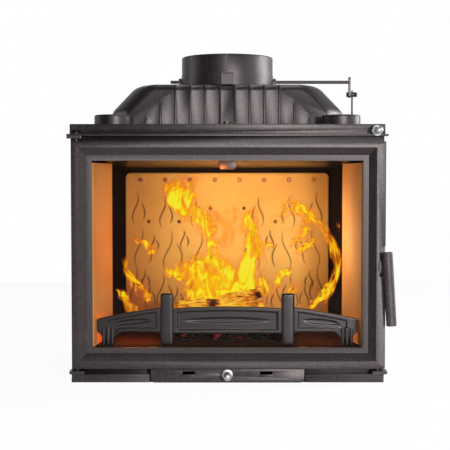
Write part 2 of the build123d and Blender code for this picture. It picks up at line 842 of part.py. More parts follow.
with BuildPart() as hearth_plate:
    with BuildSketch(Plane.XY.offset(hearth_bottom)):
        plan_taper(frame_back_depth, rear_wall_face, lambda depth: wall_inner(depth) - lining_clearance)
    extrude(amount=hearth_thickness)
    with BuildSketch(Plane.XY.offset(hearth_top)):
        with Locations((0, at_depth(grate_depth))):
            Rectangle(grate_width + 2 * grate_clearance, grate_length + 2 * grate_clearance)
    extrude(amount=-grate_seat_depth, mode=Mode.SUBTRACT)
    with BuildSketch(Plane.XY.offset(hearth_top)):
        with Locations((0, at_depth(grate_depth))):
            Rectangle(grate_width - 2 * grate_ledge, grate_length - 2 * grate_ledge)
    extrude(amount=-hearth_thickness, mode=Mode.SUBTRACT)
hearth_plate.part.label = "hearth_plate"
export_step(hearth_plate.part, "parts/hearth_plate.step")

with BuildPart() as grate:
    with BuildSketch(Plane.XY.offset(hearth_top - grate_seat_depth)):
        with Locations((0, at_depth(grate_depth))):
            Rectangle(grate_width, grate_length)
            with GridLocations(bar_pitch, bar_slot_length + bar_pitch / 2, 15, 2):
                SlotOverall(bar_slot_length, bar_slot_width, rotation=90, mode=Mode.SUBTRACT)
    extrude(amount=grate_thickness)
grate.part.label = "grate"
export_step(grate.part, "parts/grate.step")

pan_height = 42.0
pan_wall = 2.0

with BuildPart() as ash_pan:
    with BuildSketch(Plane.XY.offset(base_thickness)):
        with Locations((0, at_depth(grate_depth))):
            Rectangle(
                grate_width - 2 * grate_ledge - 2 * pan_clearance,
                grate_length - 2 * grate_ledge - 2 * pan_clearance,
            )
    extrude(amount=pan_height)
    fillet(ash_pan.edges().filter_by(Axis.Z), radius=pan_wall * 3)
    pan_mouth = ash_pan.faces().sort_by(Axis.Z)[-1]
    offset(amount=-pan_wall, openings=pan_mouth)
ash_pan.part.label = "ash_pan"
export_step(ash_pan.part, "parts/ash_pan.step")

# ======== Baffle ========
baffle_front_depth = 110.0
baffle_rear_gap = 14.0
baffle_above_window = 2.0
baffle_fall = 14.5
baffle_rear_depth = rear_wall_face - baffle_rear_gap
baffle_front_z = window_top + baffle_above_window
baffle_rear_z = baffle_front_z - baffle_fall
baffle_thickness = 8.0
tongue_half_width = 18.5
tongue_drop = 21.0
tongue_thickness = 6.0
tongue_root = 2.0


def baffle_underside(depth):
    run = (depth - baffle_front_depth) / (baffle_rear_depth - baffle_front_depth)
    return baffle_front_z + run * (baffle_rear_z - baffle_front_z)


with BuildPart() as baffle_plate:
    with BuildSketch(Plane.XY.offset(baffle_rear_z - baffle_thickness)):
        plan_taper(
            baffle_front_depth,
            baffle_rear_depth,
            lambda depth: wall_inner(depth) - 2 * lining_clearance,
        )
    extrude(amount=4 * baffle_thickness)
    with BuildSketch(Plane.YZ):
        Polygon(
            (at_depth(baffle_front_depth), baffle_front_z),
            (at_depth(baffle_rear_depth), baffle_rear_z),
            (at_depth(baffle_rear_depth), baffle_rear_z + baffle_thickness),
            (at_depth(baffle_front_depth), baffle_front_z + baffle_thickness),
            align=None,
        )
    extrude(amount=carcass_half_width, both=True, mode=Mode.INTERSECT)
    # A rounded tongue hangs from the front edge, by which the plate is lifted out.
    with BuildSketch(facing_front(baffle_front_depth)):
        with Locations((0, baffle_front_z + tongue_root)):
            Rectangle(
                2 * tongue_half_width,
                tongue_drop - tongue_half_width / 2,
                align=(Align.CENTER, Align.MAX),
            )
        with Locations((0, baffle_front_z + tongue_root - tongue_drop)):
            RectangleRounded(
                2 * tongue_half_width,
                tongue_half_width,
                radius=tongue_half_width / 3,
                align=(Align.CENTER, Align.MIN),
            )
    extrude(amount=-tongue_thickness)
baffle_plate.part.label = "baffle_plate"
export_step(baffle_plate.part, "parts/baffle_plate.step")

hook_x = 113.0
hook_half_width = 5.0
hook_height = 7.0
hook_bearing = 14.0
hook_gap = 2.0

with BuildPart() as baffle_hooks:
    for side in (-1, 1):
        with BuildSketch(Plane.YZ.offset(side * hook_x - hook_half_width)):
            Polygon(
                (at_depth(baffle_rear_depth - hook_bearing), baffle_rear_z - sliding_gap - hook_height),
                (at_depth(rear_wall_face), baffle_rear_z - sliding_gap - hook_height),
                (at_depth(rear_wall_face), baffle_rear_z + hook_height),
                (at_depth(baffle_rear_depth + hook_gap), baffle_rear_z + hook_height),
                (at_depth(baffle_rear_depth + hook_gap), baffle_rear_z - sliding_gap),
                (at_depth(baffle_rear_depth - hook_bearing), baffle_rear_z - sliding_gap),
                align=None,
            )
        extrude(amount=2 * hook_half_width)
baffle_hooks.part.label = "baffle_hooks"
export_step(baffle_hooks.part, "parts/baffle_hooks.step")

# ======== Linings ========
liner_top = baffle_underside(liner_rear_depth) - sliding_gap
stud_below_edge = 16.4
stud_side_margin = 37.0
stud_count = 8
stud_head_diameter = 11.0
stud_head_height = 2.5
stud_diameter = 6.0
stud_socket = 5.0
air_hole_diameter = 8.0
back_liner_face = rear_wall_face - back_liner_thickness
back_liner_half = wall_inner(back_liner_face) - 2 * lining_clearance
back_liner_corner = 12.0
upper_hole_level = back_liner_top - 83.0
lower_hole_level = back_liner_top - 114.0
air_holes = [
    (39.5, upper_hole_level),
    (113.0, lower_hole_level),
    (back_liner_half - 55.0, lower_hole_level),
]
stud_level = back_liner_top - stud_below_edge
stud_spacing = 2 * (back_liner_half - stud_side_margin) / (stud_count - 1)
stud_points = [((i - (stud_count - 1) / 2) * stud_spacing, stud_level) for i in range(stud_count)]

for name, side in (("left", -1), ("right", 1)):
    with BuildPart() as side_liner:
        with BuildSketch(Plane.XY.offset(hearth_top)):
            side_strip(
                side,
                frame_back_depth + lining_clearance,
                liner_rear_depth,
                lambda depth: wall_inner(depth) - liner_thickness,
                wall_inner,
            )
        extrude(amount=liner_top - hearth_top)
    side_liner.part.label = f"side_liner_{name}"
    export_step(side_liner.part, f"parts/side_liner_{name}.step")

with BuildPart() as back_liner:
    with BuildSketch(facing_front(rear_wall_face)):
        with Locations((0, hearth_top)):
            Rectangle(
                2 * back_liner_half,
                back_liner_top - hearth_top,
                align=(Align.CENTER, Align.MIN),
            )
    extrude(amount=back_liner_thickness)
    top_corners = back_liner.edges().filter_by(Axis.Y).group_by(Axis.Z)[-1]
    fillet(top_corners, radius=back_liner_corner)
    with BuildSketch(facing_front(rear_wall_face)):
        with Locations(stud_points):
            Circle(stud_diameter / 2 + seat_clearance)
        for hole_x, level in air_holes:
            with Locations((-hole_x, level), (hole_x, level)):
                Circle(air_hole_diameter / 2)
    extrude(amount=back_liner_thickness, mode=Mode.SUBTRACT)
back_liner.part.label = "back_liner"
export_step(back_liner.part, "parts/back_liner.step")

with BuildPart() as back_liner_studs:
    with BuildSketch(facing_front(rear_wall_face)):
        with Locations(stud_points):
            Circle(stud_diameter / 2)
    extrude(amount=back_liner_thickness)
    with BuildSketch(facing_front(back_liner_face)):
        with Locations(stud_points):
            Circle(stud_head_diameter / 2)
    extrude(amount=stud_head_height)
    with BuildSketch(facing_front(back_liner_face - stud_head_height)):
        with Locations(stud_points):
            RegularPolygon(stud_socket / 2, 6, major_radius=False)
    extrude(amount=-stud_head_height, mode=Mode.SUBTRACT)
back_liner_studs.part.label = "back_liner_studs"
export_step(back_liner_studs.part, "parts/back_liner_studs.step")

# ======== Log guard ========
guard_rim = 5.0
guard_relief = 1.5
guard_arch = 5.0
guard_foot_inset = 21.0
guard_foot_width = 24.0
guard_foot_x = guard_half_length - guard_foot_inset
wing_top_step = 1.0
wing_bottom_step = 3.0
wing_tip_lift = 31.0
wing_root_top = guard_bar_top - wing_top_step
wing_root_bottom = guard_bar_bottom + wing_bottom_step
wing_tip_bottom = hearth_top + wing_tip_lift
guard_half_bar = guard_bar_thickness / 2
guard_half_post = guard_post_thickness / 2

with BuildPart() as log_guard:
    with BuildSketch(facing_front(guard_depth + guard_half_bar)):
        with BuildLine():
            Line((-guard_post_x, guard_bar_bottom), (guard_post_x, guard_bar_bottom))
            Line((guard_post_x, guard_bar_bottom), (guard_post_x, guard_bar_top - guard_arch))
            ThreePointArc(
                (guard_post_x, guard_bar_top - guard_arch),
                (0, guard_bar_top),
                (-guard_post_x, guard_bar_top - guard_arch),
            )
            Line((-guard_post_x, guard_bar_top - guard_arch), (-guard_post_x, guard_bar_bottom))
        make_face()
        for side in (-1, 1):
            Polygon(
                (side * guard_post_x, wing_root_bottom),
                (side * guard_post_x, wing_root_top),
                (side * (guard_half_length - guard_rim), guard_end_top),
                (side * guard_half_length, guard_end_top - guard_rim),
                (side * guard_half_length, wing_tip_bottom),
                (side * (guard_foot_x + guard_foot_width / 2), wing_tip_bottom - guard_rim),
                (side * (guard_foot_x + guard_foot_width / 2), hearth_top),
                (side * (guard_foot_x - guard_foot_width / 2), hearth_top),
                (side * (guard_foot_x - guard_foot_width / 2), wing_tip_bottom - guard_rim),
                align=None,
            )
    extrude(amount=guard_bar_thickness)
    with BuildSketch(facing_front(guard_depth + guard_half_post)):
        with Locations((-guard_post_x, hearth_top), (guard_post_x, hearth_top)):
            Rectangle(
                guard_post_width,
                guard_post_top - hearth_top,
                align=(Align.CENTER, Align.MIN),
            )
    extrude(amount=guard_post_thickness)
    post_tops = log_guard.edges().filter_by(Axis.Y).group_by(Axis.Z)[-1]
    fillet(post_tops, radius=guard_post_width / 4)
    # Each panel is sunk inside a raised border.
    with BuildSketch(facing_front(guard_depth - guard_half_bar)):
        with Locations((0, (guard_bar_top + guard_bar_bottom) / 2)):
            RectangleRounded(
                2 * guard_post_x - guard_post_width - 2 * guard_rim,
                guard_bar_top - guard_bar_bottom - guard_arch - 2 * guard_rim,
                radius=guard_rim,
            )
    extrude(amount=-guard_relief, mode=Mode.SUBTRACT)
    with BuildSketch(facing_front(guard_depth - guard_half_post)):
        with Locations(
            (-guard_post_x, (guard_post_top + hearth_top) / 2),
            (guard_post_x, (guard_post_top + hearth_top) / 2),
        ):
            RectangleRounded(
                guard_post_width - 2 * guard_rim,
                guard_post_top - hearth_top - 3 * guard_rim,
                radius=guard_rim,
            )
    extrude(amount=-guard_relief, mode=Mode.SUBTRACT)
log_guard.part.label = "log_guard"
export_step(log_guard.part, "parts/log_guard.step")

# ======== Door hinge brackets and pins ========
lower_bracket_shift = 3.0
bracket_inner_x = hinge_x + bracket_inner_reach
bracket_outer_x = -carcass_half_width - lip_overhang
bracket_width = bracket_inner_x - bracket_outer_x
hinge_bore = hinge_pin_diameter / 2 + seat_clearance

with BuildPart() as hinge_bracket_top:
    with BuildSketch(Plane.XY.offset(header_bottom - bracket_height)):
        with Locations((bracket_outer_x, at_depth(lip_front_depth))):
            Rectangle(
                bracket_width,
                frame_face_depth - lip_front_depth,
                align=(Align.MIN, Align.MIN),
            )
        with Locations((hinge_x, at_depth(hinge_depth))):
            Circle(hinge_bore, mode=Mode.SUBTRACT)
    extrude(amount=bracket_height)
    front_corners = hinge_bracket_top.edges().filter_by(Axis.Z).group_by(Axis.Y)[0]
    fillet(front_corners, radius=bracket_height / 2)
hinge_bracket_top.part.label = "hinge_bracket_top"
export_step(hinge_bracket_top.part, "parts/hinge_bracket_top.step")

with BuildPart() as hinge_bracket_bottom:
    with BuildSketch(Plane.XY.offset(plinth_height)):
        with Locations((bracket_outer_x + lower_bracket_shift, at_depth(lip_front_depth))):
            Rectangle(
                bracket_width,
                frame_face_depth - lip_front_depth,
                align=(Align.MIN, Align.MIN),
            )
        with Locations((hinge_x, at_depth(hinge_depth))):
            Circle(hinge_bore, mode=Mode.SUBTRACT)
    extrude(amount=pad_height)
    front_corners = hinge_bracket_bottom.edges().filter_by(Axis.Z).group_by(Axis.Y)[0]
    fillet(front_corners, radius=bracket_height / 2)
hinge_bracket_bottom.part.label = "hinge_bracket_bottom"
export_step(hinge_bracket_bottom.part, "parts/hinge_bracket_bottom.step")

with BuildPart() as hinge_pin_top:
    with BuildSketch(Plane.XY.offset(door_top - hinge_reach_into_door)):
        with Locations((hinge_x, at_depth(hinge_depth))):
            Circle(hinge_pin_diameter / 2)
    extrude(amount=header_bottom + lip_thickness - door_top + hinge_reach_into_door)
    with BuildSketch(Plane.XY.offset(header_bottom + lip_thickness)):
        with Locations((hinge_x, at_depth(hinge_depth))):
            Circle(hinge_head_diameter / 2)
    extrude(amount=hinge_head_height)
    fillet(hinge_pin_top.edges().group_by(Axis.Z)[-1], radius=hinge_head_height / 3)
hinge_pin_top.part.label = "hinge_pin_top"
export_step(hinge_pin_top.part, "parts/hinge_pin_top.step")

with BuildPart() as hinge_pin_bottom:
    with BuildSketch(Plane.XY.offset(plinth_height)):
        with Locations((hinge_x, at_depth(hinge_depth))):
            Circle(hinge_pin_diameter / 2)
    extrude(amount=door_bottom - plinth_height + hinge_reach_into_door)
hinge_pin_bottom.part.label = "hinge_pin_bottom"
export_step(hinge_pin_bottom.part, "parts/hinge_pin_bottom.step")

pad_nub_height = door_bottom - plinth_height - pad_height - sliding_gap

with BuildPart() as door_rest_pad:
    with BuildSketch(Plane.XY.offset(plinth_height)):
        with Locations((-bracket_inner_x + bracket_width, at_depth(lip_front_depth))):
            Rectangle(
                bracket_width,
                frame_face_depth - lip_front_depth,
                align=(Align.MAX, Align.MIN),
            )
    extrude(amount=pad_height)
    front_corners = door_rest_pad.edges().filter_by(Axis.Z).group_by(Axis.Y)[0]
    fillet(front_corners, radius=bracket_height / 2)
    with BuildSketch(Plane.XY.offset(plinth_height + pad_height)):
        with Locations((-hinge_x, at_depth(hinge_depth))):
            Circle(hinge_pin_diameter / 2)
    extrude(amount=pad_nub_height)
    fillet(door_rest_pad.edges().group_by(Axis.Z)[-1], radius=hinge_pin_diameter / 6)
door_rest_pad.part.label = "door_rest_pad"
export_step(door_rest_pad.part, "parts/door_rest_pad.step")

keeper_inner_x = wall_outer(frame_back_depth) + rod_foot_gap
keeper_bottom = latch_z - keeper_below_latch

with BuildPart() as latch_keeper:
    with BuildSketch(facing_front(frame_back_depth)):
        with Locations((keeper_inner_x, keeper_bottom)):
            Rectangle(
                latch_window_x - keeper_inner_x,
                keeper_height,
                align=(Align.MIN, Align.MIN),
            )
    extrude(amount=-keeper_thickness)
latch_keeper.part.label = "latch_keeper"
export_step(latch_keeper.part, "parts/latch_keeper.step")

# ======== Door ========
rebate_depth = bevel_depth + retaining_lip
glass_face_depth = rebate_depth + gasket_thickness
notch_chamfer = 3.0
rear_edge_chamfer = 4.0
rope_half_width = window_half_width + rope_inset
groove_half = rope_diameter / 2 + 0.2
clip_screw_diameter = 3.0
clip_screw_inset = 14.2
clip_side_levels = (window_bottom + 81.0, window_top - 84.0)
door_corner_radius = 2.0
selector_margin = 0.1
clip_end_x = 150.0


def around_window(margin, radius=0.0):
    """A rectangle this far outside the window's edge."""
    wide = 2 * (window_half_width + margin)
    high = window_height + 2 * margin
    with Locations((0, door_middle_z)):
        if radius:
            RectangleRounded(wide, high, radius=radius)
        else:
            Rectangle(wide, high)


clip_places = [(side * window_half_width, level, side, 0) for side in (-1, 1) for level in clip_side_levels]
clip_places += [(side * clip_end_x, window_top, 0, 1) for side in (-1, 1)]
clip_places += [(side * clip_end_x, window_bottom, 0, -1) for side in (-1, 1)]
clip_screw_points = [
    (x + out_x * clip_screw_inset, z + out_z * clip_screw_inset) for x, z, out_x, out_z in clip_places
]
bracket_screw_x = carcass_half_width - 6.0
bracket_screw_levels = (latch_z - 27.0, latch_z + 45.0)
bracket_screw_diameter = 4.0
bracket_screw_points = [(bracket_screw_x, level) for level in bracket_screw_levels]
bracket_screw_reach = 10.0

with BuildPart() as door_frame:
    with BuildSketch(facing_front(door_thickness)):
        with Locations((door_left, door_bottom)):
            Rectangle(door_right - door_left, door_top - door_bottom, align=(Align.MIN, Align.MIN))
    extrude(amount=door_thickness)
    chamfer(
        door_frame.edges().filter_by(Axis.Z).group_by(Axis.Y)[-1].sort_by(Axis.X)[0],
        length=rear_edge_chamfer,
    )
    fillet(door_frame.edges().filter_by(Axis.Y), radius=door_corner_radius)
    # The bevel runs from the outer border down to the sunk border round the glass.
    with BuildSketch(facing_front(0)):
        around_window(inner_flat_width + bevel_width)
    with BuildSketch(facing_front(bevel_depth)):
        around_window(inner_flat_width)
    loft(mode=Mode.SUBTRACT)
    with BuildSketch(facing_front(door_thickness)):
        around_window(0.0)
    extrude(amount=door_thickness, mode=Mode.SUBTRACT)
    with BuildSketch(facing_front(door_thickness)):
        around_window(glass_overlap + glass_edge_clearance)
    extrude(amount=door_thickness - rebate_depth, mode=Mode.SUBTRACT)
    with BuildSketch(facing_front(door_thickness)):
        around_window(rope_inset + groove_half, rope_corner_radius + groove_half)
        with Locations((0, door_middle_z)):
            RectangleRounded(
                2 * (rope_half_width - groove_half),
                window_height + 2 * (rope_inset - groove_half),
                radius=rope_corner_radius - groove_half,
                mode=Mode.SUBTRACT,
            )
    extrude(amount=rope_groove_depth, mode=Mode.SUBTRACT)
    with BuildSketch(facing_front(door_thickness)):
        with Locations((notch_edge_x, notch_bottom)):
            Rectangle(
                2 * (door_right - notch_edge_x),
                notch_top - notch_bottom,
                align=(Align.MIN, Align.MIN),
            )
    extrude(amount=door_thickness, mode=Mode.SUBTRACT)
    notch_corner = (
        door_frame.edges()
        .filter_by(Axis.Y)
        .filter_by_position(Axis.Z, notch_top - selector_margin, notch_top + selector_margin)
        .sort_by(Axis.X)[-1]
    )
    chamfer(notch_corner, length=notch_chamfer)
    for level, upward in ((door_bottom, 1), (door_top, -1)):
        with BuildSketch(Plane.XY.offset(level)):
            with Locations((hinge_x, at_depth(hinge_depth))):
                Circle(hinge_pin_diameter / 2 + running_clearance)
        extrude(amount=upward * (hinge_reach_into_door + cut_margin), mode=Mode.SUBTRACT)
    with BuildSketch(facing_front(door_thickness)):
        with Locations(clip_screw_points):
            Circle(clip_screw_diameter / 2 + seat_clearance)
        with Locations(bracket_screw_points):
            Circle(bracket_screw_diameter / 2 + seat_clearance)
    extrude(amount=bracket_screw_reach, mode=Mode.SUBTRACT)
door_frame.part.label = "door_frame"
export_step(door_frame.part, "parts/door_frame.step")

with BuildPart() as glass_gasket:
    with BuildSketch(facing_front(glass_face_depth)):
        around_window(glass_overlap)
        with Locations((0, door_middle_z)):
            Rectangle(
                2 * (door_half_glass - gasket_width),
                window_height + 2 * (glass_overlap - gasket_width),
                mode=Mode.SUBTRACT,
            )
    extrude(amount=gasket_thickness)
glass_gasket.part.label = "glass_gasket"
export_step(glass_gasket.part, "parts/glass_gasket.step")

with BuildPart() as door_glass:
    with BuildSketch(facing_front(glass_face_depth + glass_thickness)):
        around_window(glass_overlap)
    extrude(amount=glass_thickness)
door_glass.part.label = "door_glass"
export_step(door_glass.part, "parts/door_glass.step")

clip_length = 14.0
clip_sheet = 1.5
clip_reach = 16.8
clip_inner = 1.0
glass_back_depth = glass_face_depth + glass_thickness
clip_foot_depth = glass_overlap

with BuildPart() as glass_clips:
    for x, z, out_x, out_z in clip_places:
        middle_out = (clip_inner + clip_reach) / 2
        with BuildSketch(facing_front(door_thickness)):
            with Locations((x + out_x * middle_out, z + out_z * middle_out)):
                wide = (clip_reach - clip_inner) if out_x else clip_length
                high = (clip_reach - clip_inner) if out_z else clip_length
                Rectangle(wide, high)
        extrude(amount=-clip_sheet)
        foot_out = (clip_inner + clip_foot_depth) / 2
        with BuildSketch(facing_front(glass_back_depth)):
            with Locations((x + out_x * foot_out, z + out_z * foot_out)):
                wide = (clip_foot_depth - clip_inner) if out_x else clip_length
                high = (clip_foot_depth - clip_inner) if out_z else clip_length
                Rectangle(wide, high)
        extrude(amount=-(door_thickness - glass_back_depth))
    with BuildSketch(facing_front(door_thickness)):
        with Locations(clip_screw_points):
            Circle(clip_screw_diameter / 2 + seat_clearance)
    extrude(amount=-clip_sheet, mode=Mode.SUBTRACT)
glass_clips.part.label = "glass_clips"
export_step(glass_clips.part, "parts/glass_clips.step")

clip_screw_head = 5.5
clip_screw_head_height = 1.6

with BuildPart() as clip_screws:
    with BuildSketch(facing_front(door_thickness + clip_sheet)):
        with Locations(clip_screw_points):
            Circle(clip_screw_diameter / 2)
    extrude(amount=clip_sheet + bracket_screw_reach - 2 * screw_end_gap)
    with BuildSketch(facing_front(door_thickness + clip_sheet)):
        with Locations(clip_screw_points):
            Circle(clip_screw_head / 2)
    extrude(amount=-clip_screw_head_height)
clip_screws.part.label = "clip_screws"
export_step(clip_screws.part, "parts/clip_screws.step")

rope_depth = door_thickness - rope_groove_depth + rope_diameter / 2 + 0.3

with BuildPart() as door_rope:
    with BuildLine(facing_front(rope_depth)) as rope_path:
        half_wide = rope_half_width
        low = window_bottom - rope_inset
        high = window_top + rope_inset
        FilletPolyline(
            (-half_wide, low),
            (half_wide, low),
            (half_wide, high),
            (-half_wide, high),
            close=True,
            radius=rope_corner_radius,
        )
    with BuildSketch(Plane(origin=rope_path.line @ 0, z_dir=rope_path.line % 0)):
        Circle(rope_diameter / 2)
    sweep()
door_rope.part.label = "door_rope"
export_step(door_rope.part, "parts/door_rope.step")

# ======== Handle bracket ========
bracket_plate = 4.0
bracket_plate_left = notch_edge_x - 3.5
bracket_plate_right = carcass_half_width + 2.0
bearing_half_height = 14.0
bearing_right = carcass_half_width + 4.0
bearing_recess = 1.0
bracket_end_margin = 6.0

with BuildPart() as handle_bracket:
    with BuildSketch(facing_front(door_thickness + bracket_plate)):
        with Locations((bracket_plate_left, bracket_screw_levels[0] - bracket_end_margin)):
            Rectangle(
                bracket_plate_right - bracket_plate_left,
                bracket_screw_levels[1] - bracket_screw_levels[0] + 2 * bracket_end_margin,
                align=(Align.MIN, Align.MIN),
            )
    extrude(amount=bracket_plate)
    with BuildSketch(facing_front(door_thickness)):
        with Locations((notch_edge_x + sliding_gap, latch_z)):
            Rectangle(
                bearing_right - notch_edge_x - sliding_gap,
                2 * bearing_half_height,
                align=(Align.MIN, Align.CENTER),
            )
    extrude(amount=door_thickness - bearing_recess)
    with BuildSketch(facing_front(0)):
        with Locations((latch_x, latch_z)):
            Circle(latch_shaft_diameter / 2 + running_clearance)
    extrude(amount=-2 * door_thickness, mode=Mode.SUBTRACT)
    bracket_back = Plane(
        origin=(0, at_depth(door_thickness + bracket_plate), 0), x_dir=(-1, 0, 0), z_dir=(0, 1, 0)
    )
    with Locations(bracket_back):
        with Locations([(-x, z) for x, z in bracket_screw_points]):
            CounterSinkHole(
                bracket_screw_diameter / 2 + seat_clearance,
                bracket_screw_diameter,
                depth=bracket_plate,
            )
handle_bracket.part.label = "handle_bracket"
export_step(handle_bracket.part, "parts/handle_bracket.step")

bracket_head_length = bracket_screw_diameter / 2 - seat_clearance
bracket_back_depth = door_thickness + bracket_plate

with BuildPart() as bracket_screws:
    with BuildSketch(facing_front(bracket_back_depth - bracket_head_length)):
        with Locations(bracket_screw_points):
            Circle(bracket_screw_diameter / 2)
    extrude(amount=bracket_plate - bracket_head_length + bracket_screw_reach - screw_end_gap)
    for point in bracket_screw_points:
        with BuildSketch(facing_front(bracket_back_depth - head_recess)):
            with Locations(point):
                Circle(bracket_screw_diameter - head_clearance)
        with BuildSketch(facing_front(bracket_back_depth - bracket_head_length)):
            with Locations(point):
                Circle(bracket_screw_diameter / 2)
        loft()
bracket_screws.part.label = "bracket_screws"
export_step(bracket_screws.part, "parts/bracket_screws.step")

# ======== Handle and latch ========
grip_end_radius = 2.0
stub_diameter = 8.0
stub_reach = 12.0
lever_head = 22.0
lever_head_thickness = 5.0
lever_head_gap = 0.25
lever_front_depth = grip_depth + grip_diameter / 2 + lever_head_gap
lever_back_depth = lever_front_depth + lever_head_thickness
hook_front_depth = frame_back_depth + keeper_thickness + 0.4
latch_nut_height = 5.5
latch_nut_flats = 17.0
shaft_end_depth = hook_front_depth + hook_thickness + latch_nut_height + 1.0
grip_x = latch_x + grip_offset
grip_lean = math.radians(grip_tilt)
grip_middle = Vector(
    grip_x + grip_below_latch * math.tan(grip_lean),
    at_depth(grip_depth),
    latch_z - grip_below_latch,
)
grip_axis = Vector(-math.sin(grip_lean), 0, math.cos(grip_lean))

with BuildPart() as handle_grip:
    with BuildSketch(Plane(origin=grip_middle, x_dir=(0, 1, 0), z_dir=grip_axis)):
        Circle(grip_diameter / 2)
    extrude(amount=grip_length / 2, both=True)
    fillet(handle_grip.edges().filter_by(GeomType.CIRCLE), radius=grip_end_radius)
    with BuildSketch(facing_front(lever_front_depth)):
        with Locations((grip_x, latch_z)):
            Circle(stub_diameter / 2 + seat_clearance)
    extrude(amount=stub_reach + lever_head_gap, mode=Mode.SUBTRACT)
handle_grip.part.label = "handle_grip"
export_step(handle_grip.part, "parts/handle_grip.step")

with BuildPart() as handle_lever:
    with BuildSketch(facing_front(lever_back_depth)):
        with Locations(((latch_x + grip_x) / 2, latch_z)):
            RectangleRounded(lever_head + grip_offset / 2, lever_head, radius=lever_head / 4)
    extrude(amount=lever_head_thickness)
    with BuildSketch(facing_front(lever_front_depth)):
        with Locations((grip_x, latch_z)):
            Circle(stub_diameter / 2)
    extrude(amount=stub_reach)
    with BuildSketch(facing_front(shaft_end_depth)):
        with Locations((latch_x, latch_z)):
            Circle(latch_shaft_diameter / 2)
    extrude(amount=shaft_end_depth - lever_back_depth)
handle_lever.part.label = "handle_lever"
export_step(handle_lever.part, "parts/handle_lever.step")

hook_angle = math.radians(hook_lean)
hook_tip = (
    latch_x - hook_length * math.sin(hook_angle),
    latch_z - hook_length * math.cos(hook_angle),
)
hook_hub_diameter = latch_shaft_diameter + 8.0

with BuildPart() as latch_hook:
    with BuildSketch(facing_front(hook_front_depth + hook_thickness)):
        with BuildLine():
            across = Vector(math.cos(hook_angle), -math.sin(hook_angle))
            root = Vector(latch_x, latch_z)
            tip = Vector(*hook_tip)
            Polyline(
                root + across * (hook_tip_diameter / 2),
                tip + across * (hook_tip_diameter / 2),
                tip - across * (hook_tip_diameter / 2),
                root - across * (hook_tip_diameter / 2),
                close=True,
            )
        make_face()
        with Locations(hook_tip):
            Circle(hook_tip_diameter / 2)
        with Locations((latch_x, latch_z)):
            Circle(hook_hub_diameter / 2)
            Circle(latch_shaft_diameter / 2 + seat_clearance, mode=Mode.SUBTRACT)
    extrude(amount=hook_thickness)
latch_hook.part.label = "latch_hook"
export_step(latch_hook.part, "parts/latch_hook.step")

with BuildPart() as latch_nut:
    with BuildSketch(facing_front(hook_front_depth + hook_thickness + latch_nut_height)):
        with Locations((latch_x, latch_z)):
            RegularPolygon(latch_nut_flats / 2, 6, major_radius=False)
            Circle(latch_shaft_diameter / 2 + seat_clearance, mode=Mode.SUBTRACT)
    extrude(amount=latch_nut_height)
latch_nut.part.label = "latch_nut"
export_step(latch_nut.part, "parts/latch_nut.step")

# ======== Flue damper ========
hub_diameter = 13.0
hub_margin = 4.0
tilt = math.radians(blade_tilt)
crank_near = crank_x - crank_thickness / 2
crank_far = crank_x + crank_thickness / 2
crank_above = 11.0
clamp_z = shaft_z - clamp_drop
clamp_head_flats = 10.0
clamp_head_thickness = 6.0
clamp_nut_thickness = 4.5
barrel_end_x = lever_x + lever_diameter / 2 + 2.0
lever_top = clamp_z + 9.0

with BuildPart() as damper_blade:
    with BuildSketch(
        Plane(
            origin=(0, shaft_y, shaft_z),
            x_dir=(1, 0, 0),
            z_dir=(0, -math.sin(tilt), math.cos(tilt)),
        )
    ):
        Circle(blade_diameter / 2)
    extrude(amount=blade_thickness / 2, both=True)
    with BuildSketch(Plane.YZ):
        with Locations((shaft_y, shaft_z)):
            Circle(hub_diameter / 2)
    extrude(amount=blade_diameter / 2 - hub_margin, both=True)
    with BuildSketch(Plane.YZ):
        with Locations((shaft_y, shaft_z)):
            Circle(shaft_diameter / 2 + seat_clearance)
    extrude(amount=blade_diameter, both=True, mode=Mode.SUBTRACT)
damper_blade.part.label = "damper_blade"
export_step(damper_blade.part, "parts/damper_blade.step")

with BuildPart() as damper_shaft:
    with BuildSketch(Plane.YZ.offset(shaft_left)):
        with Locations((shaft_y, shaft_z)):
            Circle(shaft_diameter / 2)
    extrude(amount=crank_far - shaft_left)
    chamfer(damper_shaft.edges().filter_by(GeomType.CIRCLE), length=shaft_diameter / 10)
damper_shaft.part.label = "damper_shaft"
export_step(damper_shaft.part, "parts/damper_shaft.step")

with BuildPart() as crank_arm:
    with BuildSketch(Plane.YZ.offset(crank_near)):
        with Locations((shaft_y, (shaft_z + crank_above + clamp_z - crank_width / 2) / 2)):
            RectangleRounded(
                crank_width,
                crank_above + clamp_drop + crank_width / 2,
                radius=crank_width / 3,
            )
        with Locations((shaft_y, shaft_z)):
            Circle(shaft_diameter / 2 + seat_clearance, mode=Mode.SUBTRACT)
        with Locations((shaft_y, clamp_z)):
            Circle(clamp_stem_diameter / 2 + seat_clearance, mode=Mode.SUBTRACT)
    extrude(amount=crank_thickness)
crank_arm.part.label = "crank_arm"
export_step(crank_arm.part, "parts/crank_arm.step")

with BuildPart() as clamp_bolt:
    with BuildSketch(Plane.YZ.offset(crank_far)):
        with Locations((shaft_y, clamp_z)):
            Circle(clamp_barrel_diameter / 2)
    extrude(amount=barrel_end_x - crank_far)
    with BuildSketch(Plane.YZ.offset(barrel_end_x)):
        with Locations((shaft_y, clamp_z)):
            RegularPolygon(clamp_head_flats / 2, 6, major_radius=False)
    extrude(amount=clamp_head_thickness)
    with BuildSketch(Plane.YZ.offset(crank_near - clamp_nut_thickness)):
        with Locations((shaft_y, clamp_z)):
            Circle(clamp_stem_diameter / 2)
    extrude(amount=crank_far - crank_near + clamp_nut_thickness)
    with BuildSketch(Plane.XY.offset(clamp_z)):
        with Locations((lever_x, shaft_y)):
            Circle(lever_diameter / 2 + seat_clearance)
    extrude(amount=clamp_barrel_diameter, both=True, mode=Mode.SUBTRACT)
clamp_bolt.part.label = "clamp_bolt"
export_step(clamp_bolt.part, "parts/clamp_bolt.step")

